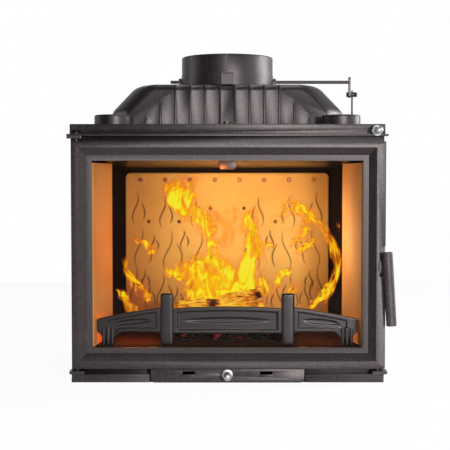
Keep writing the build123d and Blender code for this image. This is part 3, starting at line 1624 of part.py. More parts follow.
with BuildPart() as clamp_nut:
    with BuildSketch(Plane.YZ.offset(crank_near - clamp_nut_thickness)):
        with Locations((shaft_y, clamp_z)):
            RegularPolygon(clamp_head_flats / 2, 6, major_radius=False)
            Circle(clamp_stem_diameter / 2 + seat_clearance, mode=Mode.SUBTRACT)
    extrude(amount=clamp_nut_thickness)
clamp_nut.part.label = "clamp_nut"
export_step(clamp_nut.part, "parts/clamp_nut.step")

with BuildPart() as lever_rod:
    with BuildSketch(Plane.XY.offset(lever_bottom)):
        with Locations((lever_x, shaft_y)):
            Circle(lever_diameter / 2)
    extrude(amount=lever_top - lever_bottom)
lever_rod.part.label = "lever_rod"
export_step(lever_rod.part, "parts/lever_rod.step")

# ======== Damper pull, its knob and its guide ========
pull_knob_seat = lip_front_depth - 2 * sliding_gap
pull_knob_depth = pull_knob_seat - knob_collar_thickness - knob_stand_off
fork_front = flue_depth - fork_gap / 2 - prong_thickness
fork_back = flue_depth + fork_gap / 2 + prong_thickness
fork_body_left = pull_x - 8.0

with BuildPart() as damper_rod:
    with BuildSketch(facing_front(fork_front + prong_thickness)):
        with Locations((pull_x, pull_z)):
            Circle(rod_diameter / 2)
    extrude(amount=fork_front + prong_thickness - pull_knob_depth)
    with BuildSketch(Plane.XY.offset(pull_z - rod_diameter / 2)):
        with Locations((prong_tip_x, at_depth(fork_front))):
            Rectangle(
                pull_x + rod_diameter / 2 - prong_tip_x,
                fork_back - fork_front,
                align=(Align.MIN, Align.MIN),
            )
        with Locations((prong_tip_x, at_depth(fork_front + prong_thickness))):
            Rectangle(
                fork_body_left - prong_tip_x,
                fork_gap,
                align=(Align.MIN, Align.MIN),
                mode=Mode.SUBTRACT,
            )
    extrude(amount=rod_diameter)
damper_rod.part.label = "damper_rod"
export_step(damper_rod.part, "parts/damper_rod.step")

with BuildPart() as damper_knob:
    with Locations((pull_x, at_depth(pull_knob_depth), pull_z)):
        Sphere(knob_diameter / 2)
    with BuildSketch(facing_front(pull_knob_seat)):
        with Locations((pull_x, pull_z)):
            Circle(knob_neck_diameter / 2)
    extrude(amount=knob_collar_thickness + knob_stand_off)
    with BuildSketch(facing_front(pull_knob_seat)):
        with Locations((pull_x, pull_z)):
            Circle(knob_collar_diameter / 2)
    extrude(amount=knob_collar_thickness)
    collar_edges = damper_knob.edges().filter_by(GeomType.CIRCLE).sort_by(SortBy.LENGTH)[-2:]
    chamfer(collar_edges, length=knob_collar_chamfer)
    with BuildSketch(facing_front(pull_knob_depth)):
        with Locations((pull_x, pull_z)):
            Circle(rod_diameter / 2 + seat_clearance)
    extrude(amount=-2 * knob_stand_off, mode=Mode.SUBTRACT)
damper_knob.part.label = "damper_knob"
export_step(damper_knob.part, "parts/damper_knob.step")

guide_height = 16.0

with BuildPart() as pull_rod_guide:
    with BuildSketch(Plane.XY.offset(plate_underside - guide_height)):
        side_strip(
            1,
            guide_depth,
            guide_depth + guide_length,
            wall_outer,
            lambda depth: pull_x + rod_diameter,
        )
    extrude(amount=guide_height)
    with BuildSketch(facing_front(guide_depth)):
        with Locations((pull_x, pull_z)):
            Circle(rod_diameter / 2 + running_clearance)
    extrude(amount=-guide_length, mode=Mode.SUBTRACT)
pull_rod_guide.part.label = "pull_rod_guide"
export_step(pull_rod_guide.part, "parts/pull_rod_guide.step")

# ======== Air control ========
shutter_lug_half = 10.0
shutter_lug_depth = shutter_depth + 7.0
shutter_lug_thickness = 4.0
shutter_lug_top = air_gap_top - 1.5
air_knob_seat = -sliding_gap
air_knob_depth = air_knob_seat - knob_collar_thickness - knob_stand_off
shutter_bottom = base_thickness + sliding_gap

with BuildPart() as air_shutter:
    with BuildSketch(Plane.XY.offset(shutter_bottom)):
        with Locations((0, at_depth(shutter_depth))):
            Rectangle(
                2 * shutter_half_width,
                shutter_length,
                align=(Align.CENTER, Align.MIN),
            )
    extrude(amount=shutter_thickness)
    with BuildSketch(Plane.XY.offset(shutter_bottom)):
        with Locations((0, at_depth(shutter_lug_depth))):
            Rectangle(
                2 * shutter_lug_half,
                shutter_lug_thickness,
                align=(Align.CENTER, Align.MIN),
            )
    extrude(amount=shutter_lug_top - shutter_bottom)
    with BuildSketch(facing_front(shutter_lug_depth)):
        with Locations((0, air_rod_z)):
            Circle(rod_diameter / 2 + seat_clearance)
    extrude(amount=-shutter_lug_thickness, mode=Mode.SUBTRACT)
air_shutter.part.label = "air_shutter"
export_step(air_shutter.part, "parts/air_shutter.step")

with BuildPart() as air_rod:
    with BuildSketch(facing_front(shutter_lug_depth + shutter_lug_thickness)):
        with Locations((0, air_rod_z)):
            Circle(rod_diameter / 2)
    extrude(amount=shutter_lug_depth + shutter_lug_thickness - air_knob_depth)
air_rod.part.label = "air_rod"
export_step(air_rod.part, "parts/air_rod.step")

with BuildPart() as air_knob:
    with Locations((0, at_depth(air_knob_depth), air_rod_z)):
        Sphere(knob_diameter / 2)
    with BuildSketch(facing_front(air_knob_seat)):
        with Locations((0, air_rod_z)):
            Circle(knob_neck_diameter / 2)
    extrude(amount=knob_collar_thickness + knob_stand_off)
    with BuildSketch(facing_front(air_knob_seat)):
        with Locations((0, air_rod_z)):
            Circle(knob_collar_diameter / 2)
    extrude(amount=knob_collar_thickness)
    collar_edges = air_knob.edges().filter_by(GeomType.CIRCLE).sort_by(SortBy.LENGTH)[-2:]
    chamfer(collar_edges, length=knob_collar_chamfer)
    with BuildSketch(facing_front(air_knob_depth)):
        with Locations((0, air_rod_z)):
            Circle(rod_diameter / 2 + seat_clearance)
    extrude(amount=-2 * knob_stand_off, mode=Mode.SUBTRACT)
air_knob.part.label = "air_knob"
export_step(air_knob.part, "parts/air_knob.step")
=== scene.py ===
import bpy
import bmesh
import json
import math
import numpy as np
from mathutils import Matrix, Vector

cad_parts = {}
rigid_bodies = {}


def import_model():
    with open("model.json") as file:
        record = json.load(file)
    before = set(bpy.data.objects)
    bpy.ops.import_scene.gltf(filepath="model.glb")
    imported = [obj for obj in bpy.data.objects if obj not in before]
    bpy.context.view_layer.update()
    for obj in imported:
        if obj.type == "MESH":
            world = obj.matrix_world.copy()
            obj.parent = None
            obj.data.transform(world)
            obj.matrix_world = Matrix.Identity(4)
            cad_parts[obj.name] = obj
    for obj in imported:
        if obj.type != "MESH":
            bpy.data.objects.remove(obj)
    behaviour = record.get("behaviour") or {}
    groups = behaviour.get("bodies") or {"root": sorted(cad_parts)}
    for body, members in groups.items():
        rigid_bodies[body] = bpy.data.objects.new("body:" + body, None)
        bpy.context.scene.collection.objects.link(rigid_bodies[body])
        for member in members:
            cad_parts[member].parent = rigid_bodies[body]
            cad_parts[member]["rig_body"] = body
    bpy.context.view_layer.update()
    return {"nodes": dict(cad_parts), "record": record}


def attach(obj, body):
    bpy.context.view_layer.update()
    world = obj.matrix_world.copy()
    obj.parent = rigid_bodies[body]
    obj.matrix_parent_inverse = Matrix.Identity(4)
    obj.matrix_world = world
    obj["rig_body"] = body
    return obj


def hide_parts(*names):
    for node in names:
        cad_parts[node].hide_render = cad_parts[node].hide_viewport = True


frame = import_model()
nodes = frame["nodes"]
mm = 0.001
faceY = -0.200  # the door's face in metres; depths below are in mm behind it
print("frame loaded:", len(nodes), "nodes")


def deep(depth):
    # Y in metres of a depth in mm behind the door's face
    return faceY + depth * mm


def placed(x, depth, z):
    # points (..., 3) in metres, from x, depth behind the door's face and z in mm
    x, depth, z = np.broadcast_arrays(x, depth, z)
    return np.stack([x * mm, deep(depth), z * mm], axis=-1)


def linear(hexColour):
    # sRGB hex to linear RGBA
    channels = [int(hexColour[i:i + 2], 16) / 255 for i in (1, 3, 5)]
    return tuple(c / 12.92 if c <= 0.04045 else ((c + 0.055) / 1.055) ** 2.4 for c in channels) + (1.0,)


def addNode(tree, kind, settings=None, links=None):
    # one shader node with its settings (attributes, input values or a ramp's stops) and its incoming
    # links, each from a socket or from a node's first output
    node = tree.nodes.new("ShaderNode" + kind)
    for key, value in (settings or {}).items():
        if key == "stops":
            elements = node.color_ramp.elements
            while len(elements) < len(value):
                elements.new(0.5)
            for element, (position, colour) in zip(elements, value):
                element.position = position
                element.color = linear(colour)
        elif isinstance(key, str) and hasattr(node, key):
            setattr(node, key, value)
        else:
            node.inputs[key].default_value = value
    for key, source in (links or {}).items():
        socket = source.outputs[0] if isinstance(source, bpy.types.Node) else source
        tree.links.new(socket, node.inputs[key])
    return node


def newMaterial(name, build, facts):
    # a material whose surface is the shader node that build(tree, facts) makes
    material = bpy.data.materials.new(name)
    material.use_nodes = True
    tree = material.node_tree
    tree.nodes.clear()
    addNode(tree, "OutputMaterial", {}, {"Surface": build(tree, facts)})
    return material


def scaleOf(sizeMm):
    # a noise's scale, in features per metre, from the size of one feature in mm
    return 1000 / sizeMm


scene = bpy.context.scene
scene.view_settings.view_transform = "Standard"

cameraSet = {
    "lens": 87.76,
    "sensor": 36.0,
    "place": (-0.005, -2.380, 0.413),
    "tiltDown": 2.55,  # degrees
}
cameraData = bpy.data.cameras.new("camera")
cameraData.lens = cameraSet["lens"]
cameraData.sensor_width = cameraSet["sensor"]
cameraObject = bpy.data.objects.new("camera", cameraData)
cameraObject.location = cameraSet["place"]
cameraObject.rotation_euler = (math.radians(90 - cameraSet["tiltDown"]), 0, 0)
scene.collection.objects.link(cameraObject)
scene.camera = cameraObject
print("camera placed")

studio = {
    "fillLevel": 0.035,  # grey world that lights the object
    "darkFront": 0.02,  # what gloss shows of the unlit studio behind the camera
    "backdropFrom": 0.45,  # how far a reflection turns to the back before the white backdrop shows in it
    "backdropFull": 0.85,
    "floorHalf": 1.9,  # a paper sweep of under four metres
    "floorColour": "#e6e6e5",
    "floorWhite": 0.95,
    "lamps": [
        # name, place, aimed at, size in m, watts
        ("keyFront", (0.84, -2.85, 0.55), (0.05, -0.2, 0.34), 0.4, 78.0),
        ("keyHigh", (0.12, -2.86, 1.06), (0.0, -0.2, 0.52), 0.4, 22.0),
        ("rimRight", (2.30, 0.50, 0.95), (0.0, -0.1, 0.40), 1.3, 74.0),
        ("fillRight", (2.30, -1.30, 1.05), (0.0, 0.0, 0.55), 1.4, 14.0),
        ("rimLeft", (-2.30, 0.30, 0.95), (0.0, -0.1, 0.40), 0.8, 8.0),
        ("overhead", (0.20, 0.15, 2.20), (0.0, 0.0, 0.45), 0.8, 14.0),
    ],
}

world = bpy.data.worlds.new("studioWorld")
scene.world = world
world.use_nodes = True
worldTree = world.node_tree
worldTree.nodes.clear()
lightPath = addNode(worldTree, "LightPath")
# the white backdrop stands behind the object: gloss that looks that way shows it too
towards = addNode(worldTree, "TexCoord")
towardsParts = addNode(worldTree, "SeparateXYZ", {}, {0: towards.outputs["Generated"]})
backdropGloss = addNode(worldTree, "MapRange", {
    "interpolation_type": "SMOOTHSTEP",
    "From Min": studio["backdropFrom"], "From Max": studio["backdropFull"], "To Min": studio["darkFront"],
}, {"Value": towardsParts.outputs["Y"]})
glossLevel = addNode(worldTree, "Math", {"operation": "MULTIPLY"},
                     {0: backdropGloss, 1: lightPath.outputs["Is Glossy Ray"]})
seenStraight = addNode(worldTree, "Math", {"operation": "MAXIMUM"}, {
    0: lightPath.outputs["Is Camera Ray"], 1: lightPath.outputs["Is Transmission Ray"]})
seenLevel = addNode(worldTree, "Math", {"operation": "MAXIMUM"}, {0: glossLevel, 1: seenStraight})
worldLevel = addNode(worldTree, "Math", {"operation": "MAXIMUM", 1: studio["fillLevel"]}, {0: seenLevel})
worldLight = addNode(worldTree, "Background", {"Color": linear("#ffffff")}, {"Strength": worldLevel})
addNode(worldTree, "OutputWorld", {}, {"Surface": worldLight})


def addLamp(name, place, aim, size, watts, colour="#ffffff"):
    data = bpy.data.lights.new(name, "AREA")
    data.shape = "DISK"
    data.size = size
    data.energy = watts
    data.color = linear(colour)[:3]
    lamp = bpy.data.objects.new(name, data)
    lamp.location = place
    lamp.rotation_euler = (Vector(aim) - Vector(place)).to_track_quat("-Z", "Y").to_euler()
    scene.collection.objects.link(lamp)


for lampFacts in studio["lamps"]:
    addLamp(*lampFacts)


def studioPaper(tree, facts):
    # Matt paper that shows white to the camera, to gloss and through glass, and keeps a soft shadow.
    path = addNode(tree, "LightPath")
    mirrored = addNode(tree, "Math", {"operation": "MAXIMUM"}, {
        0: path.outputs["Is Glossy Ray"], 1: path.outputs["Is Transmission Ray"]})
    straight = addNode(tree, "Math", {"operation": "MAXIMUM"},
                       {0: path.outputs["Is Camera Ray"], 1: mirrored})
    seen = addNode(tree, "Math", {"operation": "MULTIPLY", 1: facts["floorWhite"]}, {0: straight})
    matt = addNode(tree, "BsdfDiffuse", {"Color": linear(facts["floorColour"])})
    white = addNode(tree, "Emission", {"Color": linear("#ffffff"), "Strength": 1.0})
    return addNode(tree, "MixShader", {}, {0: seen, 1: matt, 2: white})


def meshPiece(name, points, faces, material, uv=None, smooth=True):
    # points (n, 3) in metres, faces as index rows, uv (n, 2) one pair per point
    mesh = bpy.data.meshes.new(name)
    mesh.from_pydata(np.asarray(points, float), [], faces)
    mesh.polygons.foreach_set("use_smooth", np.full(len(mesh.polygons), smooth))
    if uv is not None:
        corner = np.empty(len(mesh.loops), np.int32)
        mesh.loops.foreach_get("vertex_index", corner)
        mesh.uv_layers.new(name="flow").data.foreach_set("uv", np.asarray(uv, float)[corner].ravel())
    mesh.materials.append(material)
    mesh.update()
    piece = bpy.data.objects.new(name, mesh)
    scene.collection.objects.link(piece)
    return piece


def gridFaces(rows, columns, start=0, wrapColumns=False):
    # index rows of the quads on a rows x columns grid of points, numbered row by row
    r = np.arange(rows - 1)[:, None]
    c = np.arange(columns if wrapColumns else columns - 1)[None, :]
    nextC = (c + 1) % columns
    below, above = r * columns, (r + 1) * columns
    quads = np.stack([below + c, below + nextC, above + nextC, above + c], axis=-1)
    return quads.reshape(-1, 4) + start


def tubeFaces(rows, columns, start):
    # a tube closed round its columns, with a flat end face at its first and last row
    faces = gridFaces(rows, columns, start, wrapColumns=True).tolist()
    faces.append((np.arange(columns)[::-1] + start).tolist())
    faces.append((np.arange(columns) + start + (rows - 1) * columns).tolist())
    return faces


def joinedTubes(name, tubes, material):
    # several closed tubes, each a grid of rows x columns points, in one mesh
    faces, start = [], 0
    for tube in tubes:
        faces += tubeFaces(tube.shape[0], tube.shape[1], start)
        start += tube.shape[0] * tube.shape[1]
    return meshPiece(name, np.vstack([tube.reshape(-1, 3) for tube in tubes]), faces, material)


def smoothStep(low, high, value):
    # 0 below low, 1 above high, and 3t^2 - 2t^3 between
    t = np.clip((value - low) / (high - low), 0, 1)
    return t * t * (3 - 2 * t)


def throughPoints(points, count):
    # a Catmull-Rom line through the given points, count samples along it
    p = np.asarray(points, float)
    p = np.vstack([2 * p[0] - p[1], p, 2 * p[-1] - p[-2]])
    s = np.linspace(0, len(p) - 3 - 1e-9, count)
    i, t = s.astype(int), (s % 1)[:, None]
    a, b, c, d = p[i], p[i + 1], p[i + 2], p[i + 3]
    square, cube = 2 * a - 5 * b + 4 * c - d, 3 * b - a - 3 * c + d
    return 0.5 * (2 * b + (c - a) * t + square * t ** 2 + cube * t ** 3)


half = studio["floorHalf"]
floorCorners = [(-half, -half, 0), (half, -half, 0), (half, half, 0), (-half, half, 0)]
paper = newMaterial("pale studio paper", studioPaper, studio)
floor = meshPiece("floor", floorCorners, [(0, 1, 2, 3)], paper, smooth=False)
print("studio lit")

fireboxInside = {
    # the firebox between the side walls' sheets, which draw in towards the back, in metres
    "halfWidth": 0.2805, "frontY": -0.165, "taper": 0.10969, "rearY": 0.190,
}


def sootAndShadeMask(tree, where):
    # 1 inside the firebox, where the walls take soot and painted shade, and 0 outside: |x| < halfWidth -
    # taper * (y - frontY), and y < rearY
    place = addNode(tree, "SeparateXYZ", {}, {0: where})
    wide = addNode(tree, "Math", {"operation": "ABSOLUTE"}, {0: place.outputs["X"]})
    limit = addNode(tree, "Math", {
        "operation": "MULTIPLY_ADD", 1: -fireboxInside["taper"],
        2: fireboxInside["halfWidth"] + fireboxInside["taper"] * fireboxInside["frontY"],
    }, {0: place.outputs["Y"]})
    narrow = addNode(tree, "Math", {"operation": "LESS_THAN"}, {0: wide, 1: limit})
    before = addNode(tree, "Math", {"operation": "LESS_THAN", 1: fireboxInside["rearY"]}, {0: place.outputs["Y"]})
    return addNode(tree, "Math", {"operation": "MULTIPLY"}, {0: narrow, 1: before})


def castIron(tree, facts):
    # Sand-cast iron or sheet under stove paint: a nearly black body with a satin skin, so that its tone
    # comes mostly from what it reflects. The sand grain of about half a millimetre is drawn at grainMm so
    # that it shows, as small tilts of the skin and faintly paler specks; the broad drift comes from uneven
    # paint. Where the facts give it, faces inside the firebox are dead matt and darkened: soot and painted
    # shade.
    where = addNode(tree, "TexCoord").outputs["Object"]
    grain = addNode(tree, "TexNoise", {"Scale": scaleOf(facts["grainMm"]), "Detail": 2.0, "Roughness": 0.7},
                    {"Vector": where})
    drift = addNode(tree, "TexNoise", {"Scale": scaleOf(facts["driftMm"]), "Detail": 3.0}, {"Vector": where})
    grainStops = [(0.36, facts["low"]), (0.50, facts["mid"]), (0.64, facts["high"])]
    grainTone = addNode(tree, "ValToRGB", {"stops": grainStops}, {"Fac": grain})
    driftTone = addNode(tree, "ValToRGB", {"stops": [(0.35, "#d8d4d4"), (0.65, "#ffffff")]}, {"Fac": drift})
    tone = addNode(tree, "Mix", {"data_type": "RGBA", "blend_type": "MULTIPLY", 0: 1.0},
                   {6: grainTone, 7: driftTone})
    rough = addNode(tree, "MapRange", {
        "From Min": 0.3, "From Max": 0.7, "To Min": facts["rough"][1], "To Max": facts["rough"][0],
    }, {"Value": grain})
    bump = addNode(tree, "Bump", {"Strength": facts["bump"], "Distance": facts["grainMm"] * mm * 0.4},
                   {"Height": grain})
    links = {"Roughness": rough, "Normal": bump}
    # soot and painted shade: faces inside the firebox take a darker, dead matt tone
    if "sootAndShade" in facts:
        inside = sootAndShadeMask(tree, where)
        tone = addNode(tree, "Mix", {"data_type": "RGBA", 7: linear(facts["sootAndShade"])},
                       {0: inside, 6: tone.outputs[2]})
        links["Roughness"] = addNode(tree, "Math", {"operation": "MAXIMUM"}, {0: rough, 1: inside})
        links["Specular IOR Level"] = addNode(tree, "Math", {
            "operation": "MULTIPLY_ADD", 1: -facts["specular"], 2: facts["specular"]}, {0: inside})
    return addNode(tree, "BsdfPrincipled", {
        "Specular IOR Level": facts["specular"], "Specular Tint": linear(facts["sheen"]),
    }, {"Base Color": tone.outputs[2], **links})


paintedIron = newMaterial("painted sand-cast iron", castIron, {
    "low": "#090707", "mid": "#110e0f", "high": "#373132", "grainMm": 2.4, "driftMm": 60.0,
    "rough": (0.40, 0.46), "bump": 0.12, "specular": 0.45, "sheen": "#fff0f1",
})
bareIron = newMaterial("bare sand-cast iron", castIron, {
    "low": "#040303", "mid": "#0a0809", "high": "#2c2728", "grainMm": 2.4, "driftMm": 40.0,
    "rough": (0.29, 0.35), "bump": 0.18, "specular": 0.50, "sheen": "#fff0f1",
})
sootyIron = newMaterial("sooted cast iron", castIron, {
    "low": "#090605", "mid": "#110b09", "high": "#221813", "grainMm": 3.0, "driftMm": 50.0,
    "rough": (0.80, 0.95), "bump": 0.6, "specular": 0.15, "sheen": "#fff0e8",
})
ashyIron = newMaterial("ash-dusted cast iron", castIron, {
    "low": "#1e0f06", "mid": "#281608", "high": "#382110", "grainMm": 3.0, "driftMm": 50.0,
    "rough": (0.80, 0.95), "bump": 0.6, "specular": 0.04, "sheen": "#fff0e8",
})
gripIron = newMaterial("satin-painted steel tube", castIron, {
    "low": "#171415", "mid": "#201c1d", "high": "#4e4748", "grainMm": 2.2, "driftMm": 60.0,
    "rough": (0.46, 0.56), "bump": 0.3, "specular": 0.55, "sheen": "#fff0f1",
})
paintedSteel = newMaterial("painted sheet steel", castIron, {
    "low": "#1c1717", "mid": "#241f1f", "high": "#3f393a", "grainMm": 3.6, "driftMm": 80.0,
    # the last tone darkens the walls inside the firebox: soot and painted shade
    "rough": (0.40, 0.52), "bump": 0.3, "specular": 0.5, "sheen": "#ffe8ea", "sootAndShade": "#17100d",
})


def turnedMetal(tree, facts):
    # Steel or chrome: a metal of the given colour, with turning or rolling marks as fine bump.
    where = addNode(tree, "TexCoord").outputs["Object"]
    marks = addNode(tree, "TexNoise", {"Scale": scaleOf(facts["markMm"]), "Detail": 2.0}, {"Vector": where})
    tone = addNode(tree, "ValToRGB", {"stops": [(0.3, facts["low"]), (0.7, facts["high"])]}, {"Fac": marks})
    rough = addNode(tree, "MapRange", {"To Min": facts["rough"][0], "To Max": facts["rough"][1]},
                    {"Value": marks})
    bump = addNode(tree, "Bump", {"Strength": facts["bump"], "Distance": 0.2 * mm}, {"Height": marks})
    return addNode(tree, "BsdfPrincipled", {"Metallic": 1.0},
                   {"Base Color": tone, "Roughness": rough, "Normal": bump})


brightSteel = newMaterial("turned bright steel", turnedMetal, {
    "low": "#8d8b89", "high": "#c4c2bf", "markMm": 1.5, "rough": (0.25, 0.4), "bump": 0.15,
})
darkSteel = newMaterial("heat-darkened steel", turnedMetal, {
    "low": "#2c2928", "high": "#4c4745", "markMm": 1.8, "rough": (0.35, 0.55), "bump": 0.25,
})
stainedSteel = newMaterial("fire-stained steel", turnedMetal, {
    "low": "#6b3a22", "high": "#a8683f", "markMm": 3.0, "rough": (0.45, 0.6), "bump": 0.2,
})
zincSheet = newMaterial("zinc-plated sheet steel", turnedMetal, {
    "low": "#8e908f", "high": "#b9bbba", "markMm": 6.0, "rough": (0.3, 0.5), "bump": 0.1,
})
chromePlate = newMaterial("polished chrome plate", turnedMetal, {
    "low": "#9c9c9d", "high": "#acacad", "markMm": 8.0, "rough": (0.48, 0.52), "bump": 0.0,
})


def firedClay(tree, facts):
    # Pressed fire clay board: matt, sandy, warm tan, with 1-2 mm grog specks and soft heat staining. Where
    # the facts give them, the map's first value paints shade into the grooves and holes, and its second
    # darkens the face with scorch and painted shade.
    where = addNode(tree, "TexCoord").outputs["Object"]
    specks = addNode(tree, "TexNoise", {"Scale": scaleOf(facts["speckMm"]), "Detail": 3.0}, {"Vector": where})
    stain = addNode(tree, "TexNoise", {"Scale": scaleOf(facts["stainMm"]), "Detail": 4.0}, {"Vector": where})
    speckStops = [(0.3, facts["low"]), (0.7, facts["high"])]
    speckTone = addNode(tree, "ValToRGB", {"stops": speckStops}, {"Fac": specks})
    stainStops = [(0.35, facts["stain"]), (0.62, "#ffffff")]
    stainTone = addNode(tree, "ValToRGB", {"stops": stainStops}, {"Fac": stain})
    tone = addNode(tree, "Mix", {"data_type": "RGBA", "blend_type": "MULTIPLY", 0: 0.8},
                   {6: speckTone, 7: stainTone})
    # painted shade in the grooves and holes, and scorch with painted shade on the face
    if "sootAndShade" in facts:
        flow = addNode(tree, "UVMap", {"uv_map": "flow"})
        grooveAndScorchShade = addNode(tree, "SeparateXYZ", {}, {0: flow})
        scorchShaded = addNode(tree, "Mix", {"data_type": "RGBA", 7: linear(facts["scorchShade"])},
                           {0: grooveAndScorchShade.outputs[1], 6: tone.outputs[2]})
        tone = addNode(tree, "Mix", {"data_type": "RGBA", 7: linear(facts["sootAndShade"])},
                       {0: grooveAndScorchShade.outputs[0], 6: scorchShaded.outputs[2]})
    bump = addNode(tree, "Bump", {"Strength": 0.35, "Distance": 0.6 * mm}, {"Height": specks})
    return addNode(tree, "BsdfPrincipled", {"Specular IOR Level": 0.25, "Roughness": 0.85},
                   {"Base Color": tone.outputs[2], "Normal": bump})


clayBoard = newMaterial("fired clay board", firedClay, {
    "low": "#b67e40", "high": "#ca9350", "stain": "#eeddc4", "speckMm": 2.0, "stainMm": 140.0,
})
engravedClay = newMaterial("engraved fired clay", firedClay, {
    "low": "#b08540", "high": "#c49a50", "stain": "#eee0c4", "speckMm": 2.0, "stainMm": 140.0,
    # painted shade for the grooves and holes, then scorch with painted shade for the face
    "sootAndShade": "#42210e", "scorchShade": "#8a4c1a",
})


def glassPane(tree, facts):
    # Glass-ceramic pane: nearly invisible straight on, with a mirror-like skin that shows at a slant.
    return addNode(tree, "BsdfPrincipled", {
        "Base Color": linear(facts["colour"]), "Roughness": 0.03, "Alpha": 0.06, "IOR": 1.5})


glassMaterial = newMaterial("clear ceramic glass", glassPane, {"colour": "#1c1a19"})


def glassFibre(tree, facts):
    # Knitted glass-fibre seal: dull grey yarn, about yarnMm across, as round knots in close rows.
    where = addNode(tree, "TexCoord").outputs["Object"]
    yarn = addNode(tree, "TexVoronoi", {"Scale": scaleOf(facts["yarnMm"])}, {"Vector": where})
    tone = addNode(tree, "ValToRGB", {"stops": [(0.0, facts["high"]), (0.75, facts["low"])]}, {"Fac": yarn})
    bump = addNode(tree, "Bump", {"Strength": 0.7, "Distance": 0.6 * mm, "invert": True}, {"Height": yarn})
    return addNode(tree, "BsdfPrincipled", {"Roughness": 0.95, "Specular IOR Level": 0.1},
                   {"Base Color": tone, "Normal": bump})


fibreTape = newMaterial("woven glass-fibre tape", glassFibre, {
    "low": "#4c4a47", "high": "#8f8c87", "yarnMm": 1.2,
})
fibreRope = newMaterial("braided glass-fibre rope", glassFibre, {
    "low": "#2f2d2b", "high": "#5f5c58", "yarnMm": 2.2,
})

materialOfSlot = {
    "painted_cast_iron": paintedIron,
    "bare_cast_iron": bareIron,
    "painted_steel": paintedSteel,
    "fired_clay": clayBoard,
    "bright_steel": brightSteel,
    "dark_steel": darkSteel,
    "zinc_plated_sheet": zincSheet,
    "chrome": chromePlate,
    "ceramic_glass": glassMaterial,
    "glass_tape": fibreTape,
    "glass_rope": fibreRope,
}
finishOfNode = {
    # pieces whose own use or make gives them another finish than their slot's
    "back_liner_studs": stainedSteel,
    "hearth_plate": ashyIron,
    "grate": sootyIron,
    "hinge_pin_top": darkSteel,
    "hinge_pin_bottom": darkSteel,
    "handle_grip": gripIron,
}
slotOfNode = {part["node"]: part["material_slot"] for part in frame["record"]["subparts"]}
finishOf = {name: finishOfNode.get(name, materialOfSlot[slot]) for name, slot in slotOfNode.items()}
for nodeName, node in nodes.items():
    if not node.data.materials:
        node.data.materials.append(None)
    for index in range(len(node.data.materials)):
        node.data.materials[index] = finishOf[nodeName]
print("materials on the nodes")

castEdges = {
    "mergeMm": 0.02, "flatDegrees": 0.8, "sharpDegrees": 26, "roundDegrees": 32, "segments": 2,
    "radii": {
        # node: edge radius in mm; 0 keeps the edges sharp between smooth walls
        "door_frame": 1.6, "front_frame": 0.9, "top_plate": 1.0, "header_lip": 0.9, "air_intake_cover": 0.9,
        "plinth_left": 0.8, "plinth_right": 0.8, "flue_collar": 0, "cap_left": 1.3, "cap_right": 1.3,
        "smoke_dome": 0.8, "grate": 0.8, "hearth_plate": 0.8, "baffle_plate": 0.9, "handle_grip": 0.8,
    },
    "unclamped": "smoke_dome",  # its thin ribs would hold every edge sharp
    "evenlyCurved": ("cap_left", "cap_right", "handle_grip"),
}


def roundedCasting(facts, nodeName, radiusMm):
    # the node's own shape, merged into a closed mesh, with every sharp edge rounded as sand casting leaves it
    source = bmesh.new()
    source.from_mesh(nodes[nodeName].data)
    bmesh.ops.remove_doubles(source, verts=source.verts, dist=facts["mergeMm"] * mm)
    bmesh.ops.dissolve_limit(source, angle_limit=math.radians(facts["flatDegrees"]),
                             verts=source.verts, edges=source.edges)
    if not radiusMm:
        for edge in source.edges:
            edge.smooth = edge.calc_face_angle(math.pi) < math.radians(facts["sharpDegrees"])
    mesh = bpy.data.meshes.new(nodeName + "_casting")
    source.to_mesh(mesh)
    source.free()
    mesh.polygons.foreach_set("use_smooth", np.ones(len(mesh.polygons), bool))
    mesh.materials.clear()
    mesh.materials.append(finishOf[nodeName])
    piece = bpy.data.objects.new(nodeName + "_casting", mesh)
    scene.collection.objects.link(piece)
    evenlyCurved = nodeName in facts["evenlyCurved"]
    if radiusMm:
        rounding = piece.modifiers.new("cast edges", "BEVEL")
        rounding.width = radiusMm * mm
        rounding.segments = facts["segments"]
        rounding.limit_method = "ANGLE"
        rounding.angle_limit = math.radians(facts["roundDegrees"])
        rounding.harden_normals = not evenlyCurved
        rounding.use_clamp_overlap = nodeName != facts["unclamped"]
    if evenlyCurved:
        shading = piece.modifiers.new("even shading", "WEIGHTED_NORMAL")
        shading.mode = "FACE_AREA"
        shading.weight = 50
    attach(piece, nodes[nodeName]["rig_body"])
    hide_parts(nodeName)


for nodeName, radiusMm in castEdges["radii"].items():
    roundedCasting(castEdges, nodeName, radiusMm)
print("castings rounded:", len(castEdges["radii"]))

knobs = {
    "ballRadius": 8.3, "neckRadius": 5.0, "collarRadius": 10.75, "collarThickness": 3.5, "standOff": 23.0,
    "around": 56, "ballRings": 30, "lastRing": 0.4,
    # offset from the ball's middle, and how much wider than the neck's radius
    "neck": [(10.0, -0.5), (15.0, -0.7), (20.0, -0.3), (22.3, 0.3), (22.9, 1.2)],
    # offset from the collar's front, and how much narrower than the collar's radius
    "rim": [(0, 1.0), (0.15, 0.5), (0.5, 0.1), (0.9, 0), (2.7, 0), (3.1, 0.15), (3.4, 0.5), (3.5, 1.0)],
    "places": {
        # node: x, depth of the collar's back, z in mm
        "damper_knob": (296.0, -2.6, 503.4),
        "air_knob": (0.0, -0.3, 16.7),
    },
}


